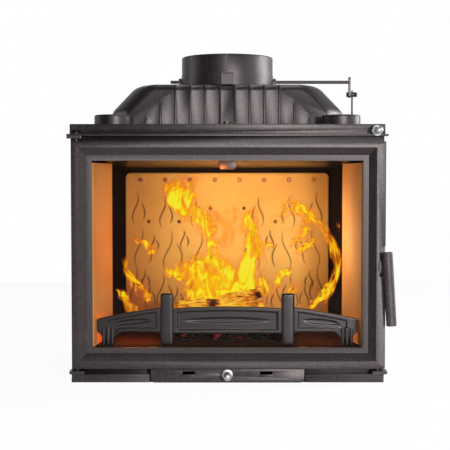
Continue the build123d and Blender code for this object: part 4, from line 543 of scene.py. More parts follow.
def turnedKnob(facts, nodeName):
    # a profile (offset along the rod, radius) turned about the rod: the ball r = sqrt(R^2 - o^2), a waisted
    # neck with a soft root, and a collar with rounded rims
    x, seat, z = facts["places"][nodeName]
    ball, neck, front = facts["ballRadius"], facts["neckRadius"], facts["standOff"]
    turn = np.linspace(0.04, np.pi - math.asin(neck / ball), facts["ballRings"])
    profile = np.vstack([
        np.stack([-ball * np.cos(turn), ball * np.sin(turn)], axis=1),
        [(offset, neck + wider) for offset, wider in facts["neck"]],
        [(front + offset, facts["collarRadius"] - narrower) for offset, narrower in facts["rim"]],
        [(front + facts["collarThickness"], facts["lastRing"])],
    ])
    a = np.linspace(0, 2 * np.pi, facts["around"], endpoint=False)[None, :]
    offset, radius = profile[:, :1], profile[:, 1:]
    depth = seat - facts["collarThickness"] - front + offset
    points = placed(x + radius * np.cos(a), depth, z + radius * np.sin(a))
    piece = joinedTubes(nodeName + "_turned", [points[:, ::-1]], chromePlate)
    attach(piece, nodes[nodeName]["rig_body"])
    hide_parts(nodeName)


for nodeName in knobs["places"]:
    turnedKnob(knobs, nodeName)
print("knobs turned")

backBoard = {
    "halfWidth": 237.4, "bottom": 67.0, "top": 421.0, "face": 378.0, "thickness": 8.0,
    "corner": 12.0, "edgeRound": 2.5, "step": 1.5,
    "grooveDepth": 2.0, "grooveWidth": 1.6, "holeDepth": 1.6,
    # how strongly the face darkens, by scorch and painted shade, and from where to where, in mm
    "scorchShadeFoot": (0.62, 67, 250), "scorchShadeLeft": (0.60, 90, 237), "scorchShadeRight": (0.24, 150, 237),
    # air holes as x, z on both sides, and their radius
    "holes": [(39.5, 338.0), (113.0, 307.0), (183.0, 307.0)], "holeRadius": 4.0,
    # engraved tongues: foot x, foot z, height, sway, mirrored on the other side
    "tongues": [
        (214, 300, 76, 8), (206, 196, 100, 11), (218, 108, 96, 9), (186, 104, 56, 6), (196, 150, 44, 5),
        (150, 292, 74, 8), (138, 186, 104, 12), (156, 100, 88, 10), (122, 96, 62, 7), (174, 236, 40, 5),
        (78, 296, 70, 7), (66, 192, 92, 10), (86, 106, 84, 8), (104, 244, 44, 5),
    ],
}


def engravedStrokes(facts):
    # each tongue is two S-curves (x, z, thickness): the outer x = foot + sway * sin(2 pi (0.05 + 0.85 t)),
    # drawn in towards its tip, z = foot + height * t; the inner one is shorter, stands beside the first and
    # bends the other way at its foot
    t = np.linspace(0, 1, 40)
    thickness = np.sin(np.pi * t) ** 0.5
    strokes = []
    for footX, footZ, height, sway in facts["tongues"]:
        outer = footX + sway * np.sin(2 * np.pi * (0.05 + 0.85 * t)) * (1 - 0.25 * t)
        inner = footX - 1.9 * sway + 0.8 * sway * np.sin(2 * np.pi * (0.55 + 0.5 * t))
        innerZ = footZ + 0.14 * height + 0.55 * height * t
        for side in (-1, 1):
            strokes.append(np.stack([side * outer, footZ + height * t, thickness], axis=1))
            strokes.append(np.stack([side * inner, innerZ, thickness], axis=1))
    return strokes


def grooveDepths(facts, x, z):
    # the deepest of all strokes and holes at each (x, z): 1 within a third of a stroke's width, 0 past its
    # rim, and smooth between; a hole is deeper, and as wide as its radius
    groove = np.zeros_like(x)
    for stroke in engravedStrokes(facts):
        near = (np.abs(x - stroke[:, 0].mean()) < 40) & (np.abs(z - stroke[:, 1].mean()) < 65)
        gap = np.hypot(x[near][:, None] - stroke[None, :, 0], z[near][:, None] - stroke[None, :, 1])
        width = 0.4 + facts["grooveWidth"] * stroke[gap.argmin(1), 2]
        groove[near] = np.maximum(groove[near], 1 - smoothStep(0.35 * width, 1.1 * width, gap.min(1)))
    radius = facts["holeRadius"]
    for holeX, holeZ in facts["holes"]:
        for side in (-1, 1):
            inHole = 1 - smoothStep(radius - 0.8, radius + 0.4, np.hypot(x - side * holeX, z - holeZ))
            groove = np.maximum(groove, facts["holeDepth"] * inHole)
    return groove


def buildBackBoard(facts):
    # front: y = face + edge rounding + grooves over an (x, z) grid; back: a plain face; the rim joins them
    columns = int(2 * facts["halfWidth"] / facts["step"]) + 1
    rows = int((facts["top"] - facts["bottom"]) / facts["step"]) + 1
    z = np.repeat(np.linspace(facts["bottom"], facts["top"], rows)[:, None], columns, 1)
    over = np.clip(z - (facts["top"] - facts["corner"]), 0, facts["corner"])
    reach = facts["halfWidth"] - facts["corner"] + np.sqrt(facts["corner"] ** 2 - over ** 2)
    x = np.linspace(-1, 1, columns)[None, :] * reach
    fromEdge = np.minimum(reach - np.abs(x), facts["top"] - z)
    sink = facts["edgeRound"] * (1 - np.clip(fromEdge / facts["edgeRound"], 0, 1)) ** 2
    groove = grooveDepths(facts, x, z)
    front = placed(x, facts["face"] + sink + facts["grooveDepth"] * groove, z).reshape(-1, 3)
    index = np.arange(rows * columns).reshape(rows, columns)
    rim = np.concatenate([index[0, :], index[1:, -1], index[-1, -2::-1], index[-2:0:-1, 0]])
    back = front[rim] * (1, 0, 1) + (0, deep(facts["face"] + facts["thickness"]), 0)
    behind = rows * columns + np.arange(len(rim))
    sides = np.stack([np.roll(rim, -1), rim, behind, np.roll(behind, -1)], axis=1)
    faces = gridFaces(rows, columns).tolist() + sides.tolist() + [behind[::-1].tolist()]
    # darker at the foot and towards both sides, more on the left: scorch and painted shade
    foot, left, right = facts["scorchShadeFoot"], facts["scorchShadeLeft"], facts["scorchShadeRight"]
    scorchShade = foot[0] * (1 - smoothStep(foot[1], foot[2], z))
    scorchShade = scorchShade + left[0] * smoothStep(left[1], left[2], -x)
    scorchShade = scorchShade + right[0] * smoothStep(right[1], right[2], x)
    grooveAndScorchShade = np.stack([np.clip(groove, 0, 1).ravel(), np.clip(scorchShade, 0, 1).ravel()], axis=1)
    uv = np.vstack([grooveAndScorchShade, np.zeros((len(rim), 2))])
    piece = meshPiece("back_board", np.vstack([front, back]), faces, engravedClay, uv=uv)
    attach(piece, "stove_body")
    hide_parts("back_liner")


buildBackBoard(backBoard)
print("back board engraved")

guard = {
    "depth": 61.0, "barHalf": 6.0, "edgeRound": 2.2, "intoPost": 4.0,
    "panelMargin": 7.5, "panelSink": 3.2, "panelEdge": 1.8, "panelEndGap": 14.0,
    "spindleSink": 2.2, "spindleHalf": 6.0, "spindleEdge": 0.75, "spindleMargins": 2.2,
    "postX": 124.0, "postWidth": 27.0, "postDepth": 20.0, "postTop": 173.0, "postRound": 4.0, "foot": 67.0,
    "middleTop": 141.0, "middleArch": 5.0, "middleBottom": 90.5, "wingEnd": 266.0,
    "wingTipTop": 121.0, "wingTipBottom": 98.0, "wingRootTop": 144.0, "wingRootBottom": 93.5,
    "footX": 245.0, "footWidth": 24.0, "archDrop": 14.0, "archReach": 18.0,
    # the ribs of a foot: offset, width and top, in mm
    "ribs": [(-9.0, 7.0, 101.3), (0.0, 9.0, 104.0), (9.0, 7.0, 101.3)], "ribDepth": 17.0, "ribRound": 2.0,
    "rows": 150, "frontCount": 46, "roundCount": 7,
}


def guardBar(facts, xFrom, xTo, topAt, bottomAt, inFrom, inTo):
    # a section carried along x: the front is y = depth - barHalf, drawn in towards the edges by a quarter
    # circle, sunk inside the panel border, and sunk again by a spindle s = 1 - ((x-mid)/half)^2 - (dz/h)^2
    x = np.linspace(xFrom, xTo, facts["rows"])[:, None]
    top, bottom = topAt(x), bottomAt(x)
    r, barHalf = facts["edgeRound"], facts["barHalf"]
    frontZ = np.linspace(0, 1, facts["frontCount"])[None, :] * (top - bottom - 2 * r) + bottom + r
    fromEdges = np.minimum(frontZ - bottom, top - frontZ)
    fromBorder = np.minimum(fromEdges, np.minimum(x - inFrom, inTo - x)) - facts["panelMargin"]
    spindleLength = (inTo - inFrom) / 2 - facts["spindleMargins"] * facts["panelMargin"]
    across = (frontZ - (top + bottom) / 2) / facts["spindleHalf"]
    along = (x - (inFrom + inTo) / 2) / spindleLength
    spindle = np.clip(1 - along ** 2 - across ** 2, 0, 1)
    frontY = facts["panelSink"] * smoothStep(0, facts["panelEdge"], fromBorder) - barHalf
    frontY = frontY + facts["spindleSink"] * smoothStep(0, facts["spindleEdge"], spindle)
    turn = np.linspace(0, np.pi / 2, facts["roundCount"])[None, 1:]
    back = turn[:, ::-1]
    backZ = np.linspace(1, 0, 5)[None, :] * (top - bottom - 2 * r) + bottom + r
    # the loop round the section: front, top edge, back top edge, back, back foot edge, front foot edge
    loop = [
        (frontY, frontZ),
        (-barHalf + r - r * np.cos(turn), top - r + r * np.sin(turn)),
        (barHalf - r + r * np.cos(back), top - r + r * np.sin(back)),
        (np.array([[barHalf]]), backZ),
        (barHalf - r + r * np.cos(turn), bottom + r - r * np.sin(turn)),
        (-barHalf + r - r * np.cos(back), bottom + r - r * np.sin(back)),
    ]
    loopY = np.concatenate([np.broadcast_to(y, z.shape) for y, z in loop], axis=1)
    loopZ = np.concatenate([z for y, z in loop], axis=1)
    return placed(x, facts["depth"] + loopY, loopZ)[::-1]


def softBlock(x, depth, wide, deepness, foot, top, corner, rows=26, columns=40):
    # an upright block round (x, depth), whose plan is the superellipse |x|^5 + |y|^5 = 1 and whose top and
    # foot draw in by corner * (1 - sqrt(1 - t^2)) over the last corner mm
    angle = np.linspace(0, 2 * np.pi, columns, endpoint=False)[None, :]
    ends = 1 - np.cos(np.linspace(0, np.pi / 2, 8))
    between = np.linspace(foot + corner, top - corner, rows)[1:-1]
    z = np.concatenate([foot + corner * ends, between, top - corner * ends[::-1]])[:, None]
    fromEnd = np.clip(1 - np.minimum(z - foot, top - z) / corner, 0, 1)
    draw = corner * (1 - np.sqrt(1 - fromEnd ** 2))
    ringX, ringY = (np.sign(value) * np.abs(value) ** 0.4 for value in (np.cos(angle), np.sin(angle)))
    return placed(x + (wide / 2 - draw) * ringX, depth + (deepness / 2 - draw) * ringY, z)


def buildGuard(facts):
    # a middle bar with an arched top, two wings that fall towards their ends, two posts and two ribbed feet
    postHalf = facts["postWidth"] / 2
    inner = facts["postX"] - postHalf + facts["intoPost"]
    outer = facts["postX"] + postHalf - facts["intoPost"]

    def crownTop(x):
        return facts["middleTop"] + facts["middleArch"] * (1 - (x / facts["postX"]) ** 2)

    def flatBottom(x):
        return facts["middleBottom"] + 0 * x

    def alongWing(x):
        return np.clip((abs(x) - outer) / (facts["wingEnd"] - outer), 0, 1)

    def wingTop(x):
        return facts["wingRootTop"] + (facts["wingTipTop"] - facts["wingRootTop"]) * alongWing(x) ** 1.25

    def wingBottom(x):
        fromFoot = (abs(abs(x) - facts["footX"]) - facts["footWidth"] / 2) / facts["archReach"]
        rise = (facts["wingTipBottom"] - facts["wingRootBottom"]) * smoothStep(0.70, 0.95, alongWing(x))
        return facts["wingRootBottom"] + rise - facts["archDrop"] * (1 - np.clip(fromFoot, 0, 1)) ** 2

    panelEnd = inner - facts["intoPost"]
    tubes = [guardBar(facts, -inner, inner, crownTop, flatBottom, -panelEnd, panelEnd)]
    for side in (-1, 1):
        ends = sorted((side * outer, side * facts["wingEnd"]))
        panel = sorted((side * (outer + facts["intoPost"]), side * (facts["wingEnd"] - facts["panelEndGap"])))
        tubes.append(guardBar(facts, *ends, wingTop, wingBottom, *panel))
        tubes.append(softBlock(side * facts["postX"], facts["depth"], facts["postWidth"], facts["postDepth"],
                               facts["foot"], facts["postTop"], facts["postRound"]))
        for rib, wide, top in facts["ribs"]:
            tubes.append(softBlock(side * facts["footX"] + rib, facts["depth"], wide, facts["ribDepth"],
                                   facts["foot"], top, facts["ribRound"], rows=8, columns=20))
    piece = joinedTubes("guard_casting", tubes, bareIron)
    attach(piece, "stove_body")
    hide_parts("log_guard")


buildGuard(guard)
print("log guard cast")


def glowingChar(tree, facts):
    # Burning wood: black char split into scales, with an orange glow in the cracks between them that comes
    # and goes over heatMm; alongGrain below 1 draws the scales out along the log.
    where = addNode(tree, "TexCoord").outputs["Object"]
    drawn = addNode(tree, "Mapping", {"Scale": (facts["alongGrain"], 1.0, 1.0)}, {"Vector": where})
    warp = addNode(tree, "TexNoise", {"Scale": scaleOf(facts["warpMm"]), "Detail": 3.0}, {"Vector": drawn})
    moved = addNode(tree, "VectorMath", {"operation": "MULTIPLY_ADD", 1: (facts["warpMm"] * mm * 0.6,) * 3},
                    {0: warp.outputs["Color"], 2: drawn})
    cracks = addNode(tree, "TexVoronoi", {"feature": "DISTANCE_TO_EDGE", "Scale": scaleOf(facts["scaleMm"])},
                     {"Vector": moved})
    heat = addNode(tree, "TexNoise", {"Scale": scaleOf(facts["heatMm"]), "Detail": 2.0}, {"Vector": where})
    glow = addNode(tree, "MapRange", {"From Max": facts["crackWidth"], "To Min": 1.0, "To Max": 0.0},
                   {"Value": cracks})
    hot = addNode(tree, "MapRange", {"From Min": facts["hotFrom"], "From Max": facts["hotFrom"] + 0.2},
                  {"Value": heat})
    power = addNode(tree, "Math", {"operation": "MULTIPLY"}, {0: glow, 1: hot})
    colour = addNode(tree, "ValToRGB", {"stops": facts["glow"]}, {"Fac": power})
    charStops = [(0.3, facts["char"][0]), (0.7, facts["char"][1])]
    char = addNode(tree, "ValToRGB", {"stops": charStops}, {"Fac": warp})
    bump = addNode(tree, "Bump", {"Strength": 0.9, "Distance": 1.5 * mm}, {"Height": cracks})
    return addNode(tree, "BsdfPrincipled", {
        "Roughness": 0.9, "Specular IOR Level": 0.15, "Emission Strength": facts["power"],
    }, {"Base Color": char, "Emission Color": colour, "Normal": bump})


burningWood = newMaterial("burning split beech", glowingChar, {
    "warpMm": 7.0, "scaleMm": 3.4, "heatMm": 40.0, "crackWidth": 0.40, "hotFrom": 0.33, "power": 0.95,
    "alongGrain": 0.12, "char": ("#0c0604", "#2c180c"),
    "glow": [(0.0, "#1c0802"), (0.22, "#a8480a"), (0.55, "#ffa018"), (1.0, "#ffdc40")],
})
emberCoal = newMaterial("glowing charcoal", glowingChar, {
    "warpMm": 6.0, "scaleMm": 7.0, "heatMm": 22.0, "crackWidth": 0.16, "hotFrom": 0.54, "power": 0.5,
    "alongGrain": 1.0, "char": ("#0a0807", "#1c1715"),
    "glow": [(0.0, "#000000"), (0.15, "#3a0800"), (0.5, "#d83404"), (1.0, "#ff9a2a")],
})

fireBed = {
    # logs: two ends (x, depth, z), radius in mm and seed
    "logs": [
        ((-104, 150, 131), (78, 146, 133), 15.0, 20),
        ((-128, 205, 116), (74, 170, 168), 13.0, 21),
        ((-60, 235, 100), (118, 200, 104), 19.0, 22),
        ((-96, 262, 92), (20, 180, 92), 17.0, 23),
    ],
    "logRings": 60, "logAround": 42,
    "coals": 150, "coalHalf": (138, 92), "coalDepth": 205.0, "coalFloor": 72.0, "heap": 16, "seed": 11,
    "coalRadius": (5.0, 11.0), "coalStretch": (0.75, 1.3),
}


def splitLog(facts, first, last, radius, seed):
    # a wedge-cut log: radius * (1 + 0.20 cos 3a + small waves), slimmer at both ends, carried along a
    # slightly bent line from end to end
    draw = np.random.default_rng(seed)
    s = np.linspace(0, 1, facts["logRings"])[:, None]
    a = np.linspace(0, 2 * np.pi, facts["logAround"], endpoint=False)[None, :]
    first, last = np.array(first, float), np.array(last, float)
    axis = (last - first) / np.linalg.norm(last - first)
    side = np.cross(axis, (0, 0, 1.0))
    side /= np.linalg.norm(side)
    up = np.cross(side, axis)
    phase = draw.uniform(0, 6.28, 6)
    r = 1 + 0.20 * np.cos(3 * a + phase[0]) + 0.05 * np.sin(7 * a + phase[1] + 5 * s)
    r = radius * (r + 0.03 * np.sin(13 * a + phase[2] - 9 * s) + 0.04 * np.sin(11 * s + phase[3]))
    r = r * (0.72 + 0.28 * np.sin(np.pi * np.clip(s, 0.02, 0.98)) ** 0.35)
    centre = first + (last - first) * s + side * (3 * np.sin(4 * s + phase[4]))
    centre = centre + up * (2.5 * np.sin(5 * s + phase[5]))
    around = np.cos(a)[..., None] * side + np.sin(a)[..., None] * up
    return placed(*np.moveaxis(centre[:, None, :] + r[..., None] * around, -1, 0))


def coalLump(facts, centre, radius, draw):
    # a lump: radius * (1 + low waves of latitude and longitude), on a small grid closed at both poles
    v = np.linspace(0.08, np.pi - 0.08, 6)[:, None]
    a = np.linspace(0, 2 * np.pi, 8, endpoint=False)[None, :]
    phase = draw.uniform(0, 6.28, 4)
    r = 1 + 0.22 * np.sin(2 * a + phase[0]) * np.sin(v) + 0.16 * np.cos(3 * v + phase[1])
    r = radius * (r + 0.12 * np.sin(3 * a + phase[2]))
    stretch = draw.uniform(*facts["coalStretch"], 3)
    shape = np.stack([np.sin(v) * np.cos(a) * r, np.sin(v) * np.sin(a) * r, -np.cos(v) * r + 0 * a], axis=-1)
    return placed(*np.moveaxis(shape * stretch + np.array(centre), -1, 0))


def buildFireBed(facts):
    # the logs, and coals heaped in the grate: higher towards the middle by heap * (1 - x^2) * (1 - y^2)
    draw = np.random.default_rng(facts["seed"])
    logs = joinedTubes("fire_logs", [splitLog(facts, *log) for log in facts["logs"]], burningWood)
    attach(logs, "stove_body")
    lumps = []
    for _ in range(facts["coals"]):
        x, y = draw.uniform(-1, 1, 2)
        radius = draw.uniform(*facts["coalRadius"])
        heap = facts["heap"] * (1 - x * x) * (1 - y * y) * draw.uniform(0, 1)
        centre = (x * facts["coalHalf"][0], facts["coalDepth"] + y * facts["coalHalf"][1],
                  facts["coalFloor"] + radius * 0.7 + heap)
        lumps.append(coalLump(facts, centre, radius, draw))
    coals = joinedTubes("fire_coals", lumps, emberCoal)
    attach(coals, "stove_body")


buildFireBed(fireBed)
print("logs and coals laid")


def burningGas(tree, facts):
    # Burning gas: no surface of its own, only light. The map says how thick the flame is at each place. A
    # ridged noise, about 24 mm wide and drawn out upwards to 55 mm, breaks it into licks. Thin flame is
    # orange and clear, thick flame yellow.
    heat = addNode(tree, "SeparateXYZ", {}, {0: addNode(tree, "UVMap", {"uv_map": "flow"})})
    where = addNode(tree, "TexCoord").outputs["Object"]
    drawn = addNode(tree, "Mapping", {"Location": (0.45, 0.0, 0.3), "Scale": (42.0, 50.0, 18.0)},
                    {"Vector": where})
    licks = addNode(tree, "TexNoise", {
        "noise_type": "RIDGED_MULTIFRACTAL", "Scale": 1.0, "Detail": 1.0, "Roughness": 0.4,
        "Distortion": 0.85, "Offset": 1.0, "Gain": 1.0,
    }, {"Vector": drawn})
    lickPower = addNode(tree, "Math", {"operation": "MULTIPLY_ADD", 1: 0.90, 2: 0.24}, {0: licks})
    power = addNode(tree, "Math", {"operation": "MULTIPLY"}, {0: heat, 1: lickPower})
    tone = addNode(tree, "ValToRGB", {"stops": facts["glow"]}, {"Fac": power})
    cover = addNode(tree, "MapRange", {
        "interpolation_type": "SMOOTHSTEP", "From Min": 0.05, "From Max": 0.75, "To Max": 0.90,
    }, {"Value": power})
    return addNode(tree, "BsdfPrincipled", {
        "Base Color": (0, 0, 0, 1), "Specular IOR Level": 0.0, "Roughness": 1.0, "Emission Strength": 1.05,
    }, {"Emission Color": tone, "Alpha": cover})


flameMaterial = newMaterial("wood flame", burningGas, {
    "glow": [(0.08, "#ff540a"), (0.34, "#ff800c"), (0.60, "#ffac0c"), (0.86, "#ffda10"), (1.0, "#fff02c")],
})

flames = {
    "step": 1.5, "left": -246.0, "right": 246.0, "bottom": 112.0, "top": 416.0,
    "thickness": 1.0, "leastHeat": 0.02, "rippleMm": 13.0,
    # a strand's width on its crisp side as a share of the other side's, where along the line it is at its
    # fullest, and how many half widths from the line it still counts
    "sharpSide": 0.16, "fullBetween": (0.16, 0.55), "reach": 2.6,
    # more, loose, bright and fuller multiply the table's strands, spread, heat and half width. Sway has a
    # slow and a fast wave, each with its size and half turns, and grows from foot to tip. A filament's
    # width is in mm, and it ends a length after where it starts, so its fromFirst is 1.
    "fuller": 0.78, "leastWidth": 2.2,
    "strand": {
        "more": 1.8, "loose": 1.9, "slow": (0.6, 2.4), "fast": (0.35, 6.3), "grows": (0.3, 0.9),
        "pace": (0.6, 1.5), "from": (0, 0.35), "to": (0.75, 1.0), "fromFirst": 0,
        "width": (0.35, 1.3), "inMm": False, "bright": 0.80, "brightness": (0.3, 1.0),
    },
    "filament": {
        "more": 1.5, "loose": 1.5 * 1.9, "slow": (0.6, 2.9), "fast": (0.3, 7.0), "grows": (0.35, 0.8),
        "pace": (0.8, 1.9), "from": (0, 0.6), "to": (0.25, 0.5), "fromFirst": 1,
        "width": (2.0, 3.2), "inMm": True, "bright": 0.75, "brightness": (0.4, 1.0),
    },
    "sheets": {
        # tongues: line of points (x, z), half width, heat, strands, spread
        "front": {"depth": 168.0, "seed": 6, "tongues": [
            # left plume, rising and curling over at the top
            ([(-36, 250), (-30, 290), (-34, 330), (-24, 350)], 6, 0.5, 4, 8),
            ([(-78, 312), (-100, 340), (-116, 368), (-96, 392), (-44, 398)], 12, 0.9, 8, 11),
            ([(-74, 330), (-112, 352), (-138, 386)], 9, 0.8, 5, 7),
            ([(-139, 228), (-118, 208), (-88, 206), (-60, 228), (-40, 262)], 9, 0.85, 8, 12),
            # middle body
            ([(34, 128), (36, 168), (44, 210), (50, 252), (58, 300), (50, 340)], 10, 1.0, 10, 9),
            ([(14, 122), (22, 168), (40, 206), (46, 240)], 15, 1.1, 8, 10),
            ([(-30, 124), (-46, 170), (-30, 204), (0, 216)], 15, 0.55, 6, 16),
            ([(-60, 124), (-30, 146), (12, 150), (56, 130)], 14, 0.9, 8, 12),
            ([(-52, 124), (-66, 168), (-50, 206), (-20, 222)], 9, 0.6, 6, 12),
            ([(58, 126), (60, 162), (76, 190), (88, 156), (98, 128)], 8, 0.75, 6, 10),
            # right arc, climbing the side and leaning back over
            ([(182, 122), (212, 146), (234, 190), (238, 232), (226, 272), (200, 306), (168, 334),
              (134, 352), (104, 362)], 4.5, 0.85, 7, 4.5),
            ([(82, 330), (108, 326), (140, 346), (176, 330)], 5, 0.65, 5, 9),
            ([(96, 130), (104, 170), (116, 204), (138, 210), (146, 190)], 6, 0.8, 6, 6),
            ([(126, 290), (150, 296), (172, 318), (196, 300)], 4, 0.55, 4, 6),
            # along the front log
            ([(-92, 122), (-60, 136), (-20, 134), (24, 140), (70, 128)], 9, 1.0, 7, 8),
            ([(20, 122), (10, 150), (24, 176), (16, 206)], 8, 0.9, 6, 7),
            # low left licks
            ([(-236, 176), (-216, 146), (-196, 124), (-158, 118)], 6.5, 0.70, 7, 7),
            ([(-190, 182), (-176, 156), (-160, 130)], 6, 0.6, 5, 6),
            ([(-176, 250), (-160, 252), (-148, 244)], 5, 0.7, 3, 4),
        ]},
        "rear": {"depth": 222.0, "seed": 7, "tongues": [
            # left plume, rising and curling over at the top
            ([(-66, 130), (-60, 190), (-40, 240), (-36, 282), (-60, 318), (-92, 345), (-112, 372),
              (-128, 398)], 9, 0.75, 9, 13),
            ([(-84, 318), (-96, 350), (-84, 378), (-60, 392)], 14, 0.8, 6, 12),
            ([(-118, 352), (-134, 384), (-152, 408)], 5, 0.5, 4, 6),
            ([(-66, 326), (-92, 350), (-108, 380), (-78, 397), (-40, 401)], 13, 0.9, 6, 9),
            ([(-126, 234), (-96, 212), (-58, 214), (-30, 246), (-18, 296)], 8, 0.8, 6, 9),
            ([(-130, 222), (-96, 196), (-70, 178), (-50, 142)], 9, 0.6, 6, 12),
            ([(-120, 216), (-80, 226), (-44, 240), (-12, 252)], 8, 0.6, 5, 9),
            # middle body
            ([(80, 126), (78, 182), (72, 230), (58, 272), (52, 320), (62, 346), (78, 326)], 7, 0.8, 8, 8),
            ([(-78, 128), (-58, 178), (-18, 200), (22, 186), (42, 152)], 17, 0.6, 7, 16),
            ([(-96, 120), (-66, 144), (-34, 152), (-4, 134)], 11, 0.8, 6, 11),
            ([(-6, 124), (4, 160), (-10, 190), (10, 224)], 11, 0.8, 6, 11),
            ([(-76, 122), (-50, 152), (-16, 172), (24, 170), (54, 146)], 16, 0.55, 6, 14),
            # right arc, climbing the side and leaning back over
            ([(206, 122), (226, 170), (240, 214), (230, 262), (206, 296), (172, 318)], 5, 0.7, 6, 6),
            ([(140, 376), (146, 350), (166, 336), (182, 316), (178, 296)], 8, 0.85, 6, 10),
            ([(134, 250), (156, 278), (178, 300), (184, 322)], 5, 0.65, 5, 7),
            ([(72, 274), (92, 262), (108, 248)], 4, 0.6, 4, 5),
            ([(238, 318), (246, 296), (234, 276)], 3, 0.4, 3, 4),
            ([(128, 132), (142, 164), (168, 196)], 5, 0.65, 5, 7),
            ([(168, 120), (196, 138), (222, 166), (236, 200)], 6, 0.8, 6, 7),
            ([(150, 214), (158, 246), (184, 268), (198, 296)], 4, 0.55, 5, 6),
            # along the front log
            ([(-84, 126), (-88, 154), (-70, 186), (-78, 214)], 8, 0.6, 6, 10),
            # low left licks
            ([(-232, 256), (-222, 218), (-204, 182), (-180, 150), (-166, 124)], 5.5, 0.60, 7, 8),
            ([(-214, 276), (-184, 268), (-162, 254), (-150, 262)], 6, 0.62, 6, 6),
            # thin veils high in the box
            ([(-34, 300), (-20, 326), (-40, 346), (-26, 362)], 4, 0.35, 4, 7),
            ([(-30, 230), (-16, 280), (-26, 330), (-46, 352)], 22, 0.20, 5, 18),
            ([(4, 240), (22, 290), (6, 330), (-20, 344)], 24, 0.18, 5, 18),
        ]},
    },
}


def addStrand(facts, heat, x, z, line, halfWidth, level, crispSide):
    # adds level * exp(-(gap / width)^2), where gap is the distance to the line; level tapers towards both
    # ends, and the crisp side is much narrower, so that the strand has one sharp edge and fades from it
    reach = facts["reach"] * halfWidth
    (lowX, lowZ), (highX, highZ) = line.min(0) - reach, line.max(0) + reach
    near = (x > lowX) & (x < highX) & (z > lowZ) & (z < highZ)
    acrossX, acrossZ = x[near][:, None] - line[None, :, 0], z[near][:, None] - line[None, :, 1]
    gap = acrossX ** 2 + acrossZ ** 2
    closest = gap.argmin(1)
    every = np.arange(len(closest))
    tangent = np.gradient(line, axis=0)[closest]
    leaning = acrossX[every, closest] * tangent[:, 1] - acrossZ[every, closest] * tangent[:, 0]
    s = closest / (len(line) - 1)
    fullFrom, fullTo = facts["fullBetween"]
    taper = smoothStep(0, fullFrom, s) * (1 - smoothStep(fullTo, 1.0, s))
    oneSided = np.where(np.sign(leaning) * crispSide > 0, facts["sharpSide"], 1.0)
    width = halfWidth * (0.35 + 0.65 * taper) * oneSided
    heat[near] += level * taper * np.exp(-gap[every, closest] / width ** 2)


def swayed(kind, amount, s, phase, pace):
    # a slow and a fast sine wave along the line, growing towards its tip
    (slow, slowTurns), (fast, fastTurns), (start, growth) = kind["slow"], kind["fast"], kind["grows"]
    waves = slow * np.sin(slowTurns * pace[0] * np.pi * s + phase[0])
    waves = waves + fast * np.sin(fastTurns * pace[1] * np.pi * s + phase[1])
    return amount * waves * (start + growth * s)


def heatOfSheet(facts, sheet, x, z):
    # the sum of many strands and thinner, shorter filaments, each a part of the tongue's line swayed to its
    # side, and then 1 - exp(-sum), as light adds up through thick flame
    draw = np.random.default_rng(facts["sheets"][sheet]["seed"])
    heat = np.zeros_like(x)
    count = 90
    s = np.linspace(0, 1, count)
    for points, width, level, strands, spread in facts["sheets"][sheet]["tongues"]:
        middle = throughPoints(points, count)
        tangent = np.gradient(middle, axis=0)
        tangent /= np.linalg.norm(tangent, axis=1)[:, None]
        side = np.stack([tangent[:, 1], -tangent[:, 0]], axis=1)
        for kind in (facts["strand"], facts["filament"]):
            for _ in range(int(strands * kind["more"])):
                phase, pace = draw.uniform(0, 6.28, 3), draw.uniform(*kind["pace"], 2)
                sway = swayed(kind, kind["loose"] * spread, s, phase, pace)
                first = draw.uniform(*kind["from"])
                last = min(1.0, draw.uniform(*kind["to"]) + kind["fromFirst"] * first)
                line = (middle + side * sway[:, None])[int(first * count):int(last * count)]
                own = draw.uniform(*kind["width"])
                if kind["inMm"]:
                    halfWidth = own
                else:
                    halfWidth = max(facts["fuller"] * width * own, facts["leastWidth"])
                bright = kind["bright"] * level * draw.uniform(*kind["brightness"])
                addStrand(facts, heat, x, z, line, halfWidth, bright, draw.choice((-1, 1)))
    return 1 - np.exp(-heat)


def keptQuads(hot):
    # the grid's quads that hold flame; corners where two quads only touch are filled, so the rim stays simple
    kept = hot[:-1, :-1] | hot[1:, :-1] | hot[:-1, 1:] | hot[1:, 1:]
    for _ in range(6):
        a, b, c, d = kept[:-1, :-1], kept[1:, 1:], kept[1:, :-1], kept[:-1, 1:]
        touching = (a & b & ~c & ~d) | (c & d & ~a & ~b)
        for block in (a, b, c, d):
            block |= touching
    return kept


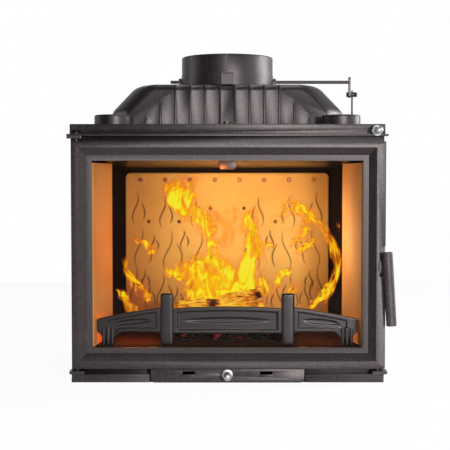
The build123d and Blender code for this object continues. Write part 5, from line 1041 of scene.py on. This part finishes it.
def buildFlameSheet(facts, sheet):
    # a thin closed sheet where there is heat: front y = depth + ripple * sin(x / 31 + depth) * sin(z / 43),
    # back one thickness behind it, and a rim between them
    columns = int((facts["right"] - facts["left"]) / facts["step"]) + 1
    rows = int((facts["top"] - facts["bottom"]) / facts["step"]) + 1
    x, z = np.meshgrid(np.linspace(facts["left"], facts["right"], columns),
                       np.linspace(facts["bottom"], facts["top"], rows))
    heat = heatOfSheet(facts, sheet, x, z)
    depth = facts["sheets"][sheet]["depth"]
    y = depth + facts["rippleMm"] * np.sin(x / 31 + depth) * np.sin(z / 43)
    grid = gridFaces(rows, columns)[keptQuads(heat > facts["leastHeat"]).ravel()]
    edges = np.stack([grid, np.roll(grid, -1, axis=1)], axis=-1).reshape(-1, 2)
    _, first, times = np.unique(np.sort(edges, axis=1), axis=0, return_index=True, return_counts=True)
    rim = edges[first[times == 1]]
    offset = rows * columns
    sides = np.stack([rim[:, 1], rim[:, 0], rim[:, 0] + offset, rim[:, 1] + offset], axis=1)
    used, faces = np.unique(np.vstack([grid, grid[:, ::-1] + offset, sides]), return_inverse=True)
    points = np.vstack([placed(x, y + push, z).reshape(-1, 3) for push in (0.0, facts["thickness"])])
    level = np.concatenate([heat.ravel(), np.zeros(offset)])
    piece = meshPiece("flame_" + sheet, points[used], faces.reshape(-1, 4), flameMaterial,
                      uv=np.stack([level, level], axis=1)[used])
    piece.visible_shadow = False
    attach(piece, "stove_body")


for sheetName in flames["sheets"]:
    buildFlameSheet(flames, sheetName)

fireLamps = [
    # name, place and aim as (x, depth, z) in mm, size in m, watts, colour
    ("glowBoard", (35, 190, 315), (35, 378, 315), 0.10, 0.52, "#fff6d8"),
    ("glowBoardWide", (30, 75, 300), (30, 378, 290), 0.10, 0.56, "#ffb870"),
    ("glowRight", (120, 182, 280), (262, 196, 270), 0.08, 0.50, "#ffeedd"),
    ("glowLeft", (-110, 140, 270), (-262, 140, 270), 0.08, 0.15, "#ff7c18"),
    ("glowUp", (0, 230, 320), (0, 310, 440), 0.10, 0.22, "#ff8e40"),
    ("glowTongue", (0, 62, 405), (0, 112, 437), 0.02, 0.120, "#ff8838"),
    ("glowHearthLeft", (-190, 112, 118), (-200, 95, 67), 0.08, 0.22, "#ff7a28"),
    ("glowHearthRight", (190, 112, 118), (200, 95, 67), 0.08, 0.08, "#ff8034"),
]
for name, place, aim, size, watts, colour in fireLamps:
    addLamp(name, placed(*place), placed(*aim), size, watts, colour)
print("flames lit")
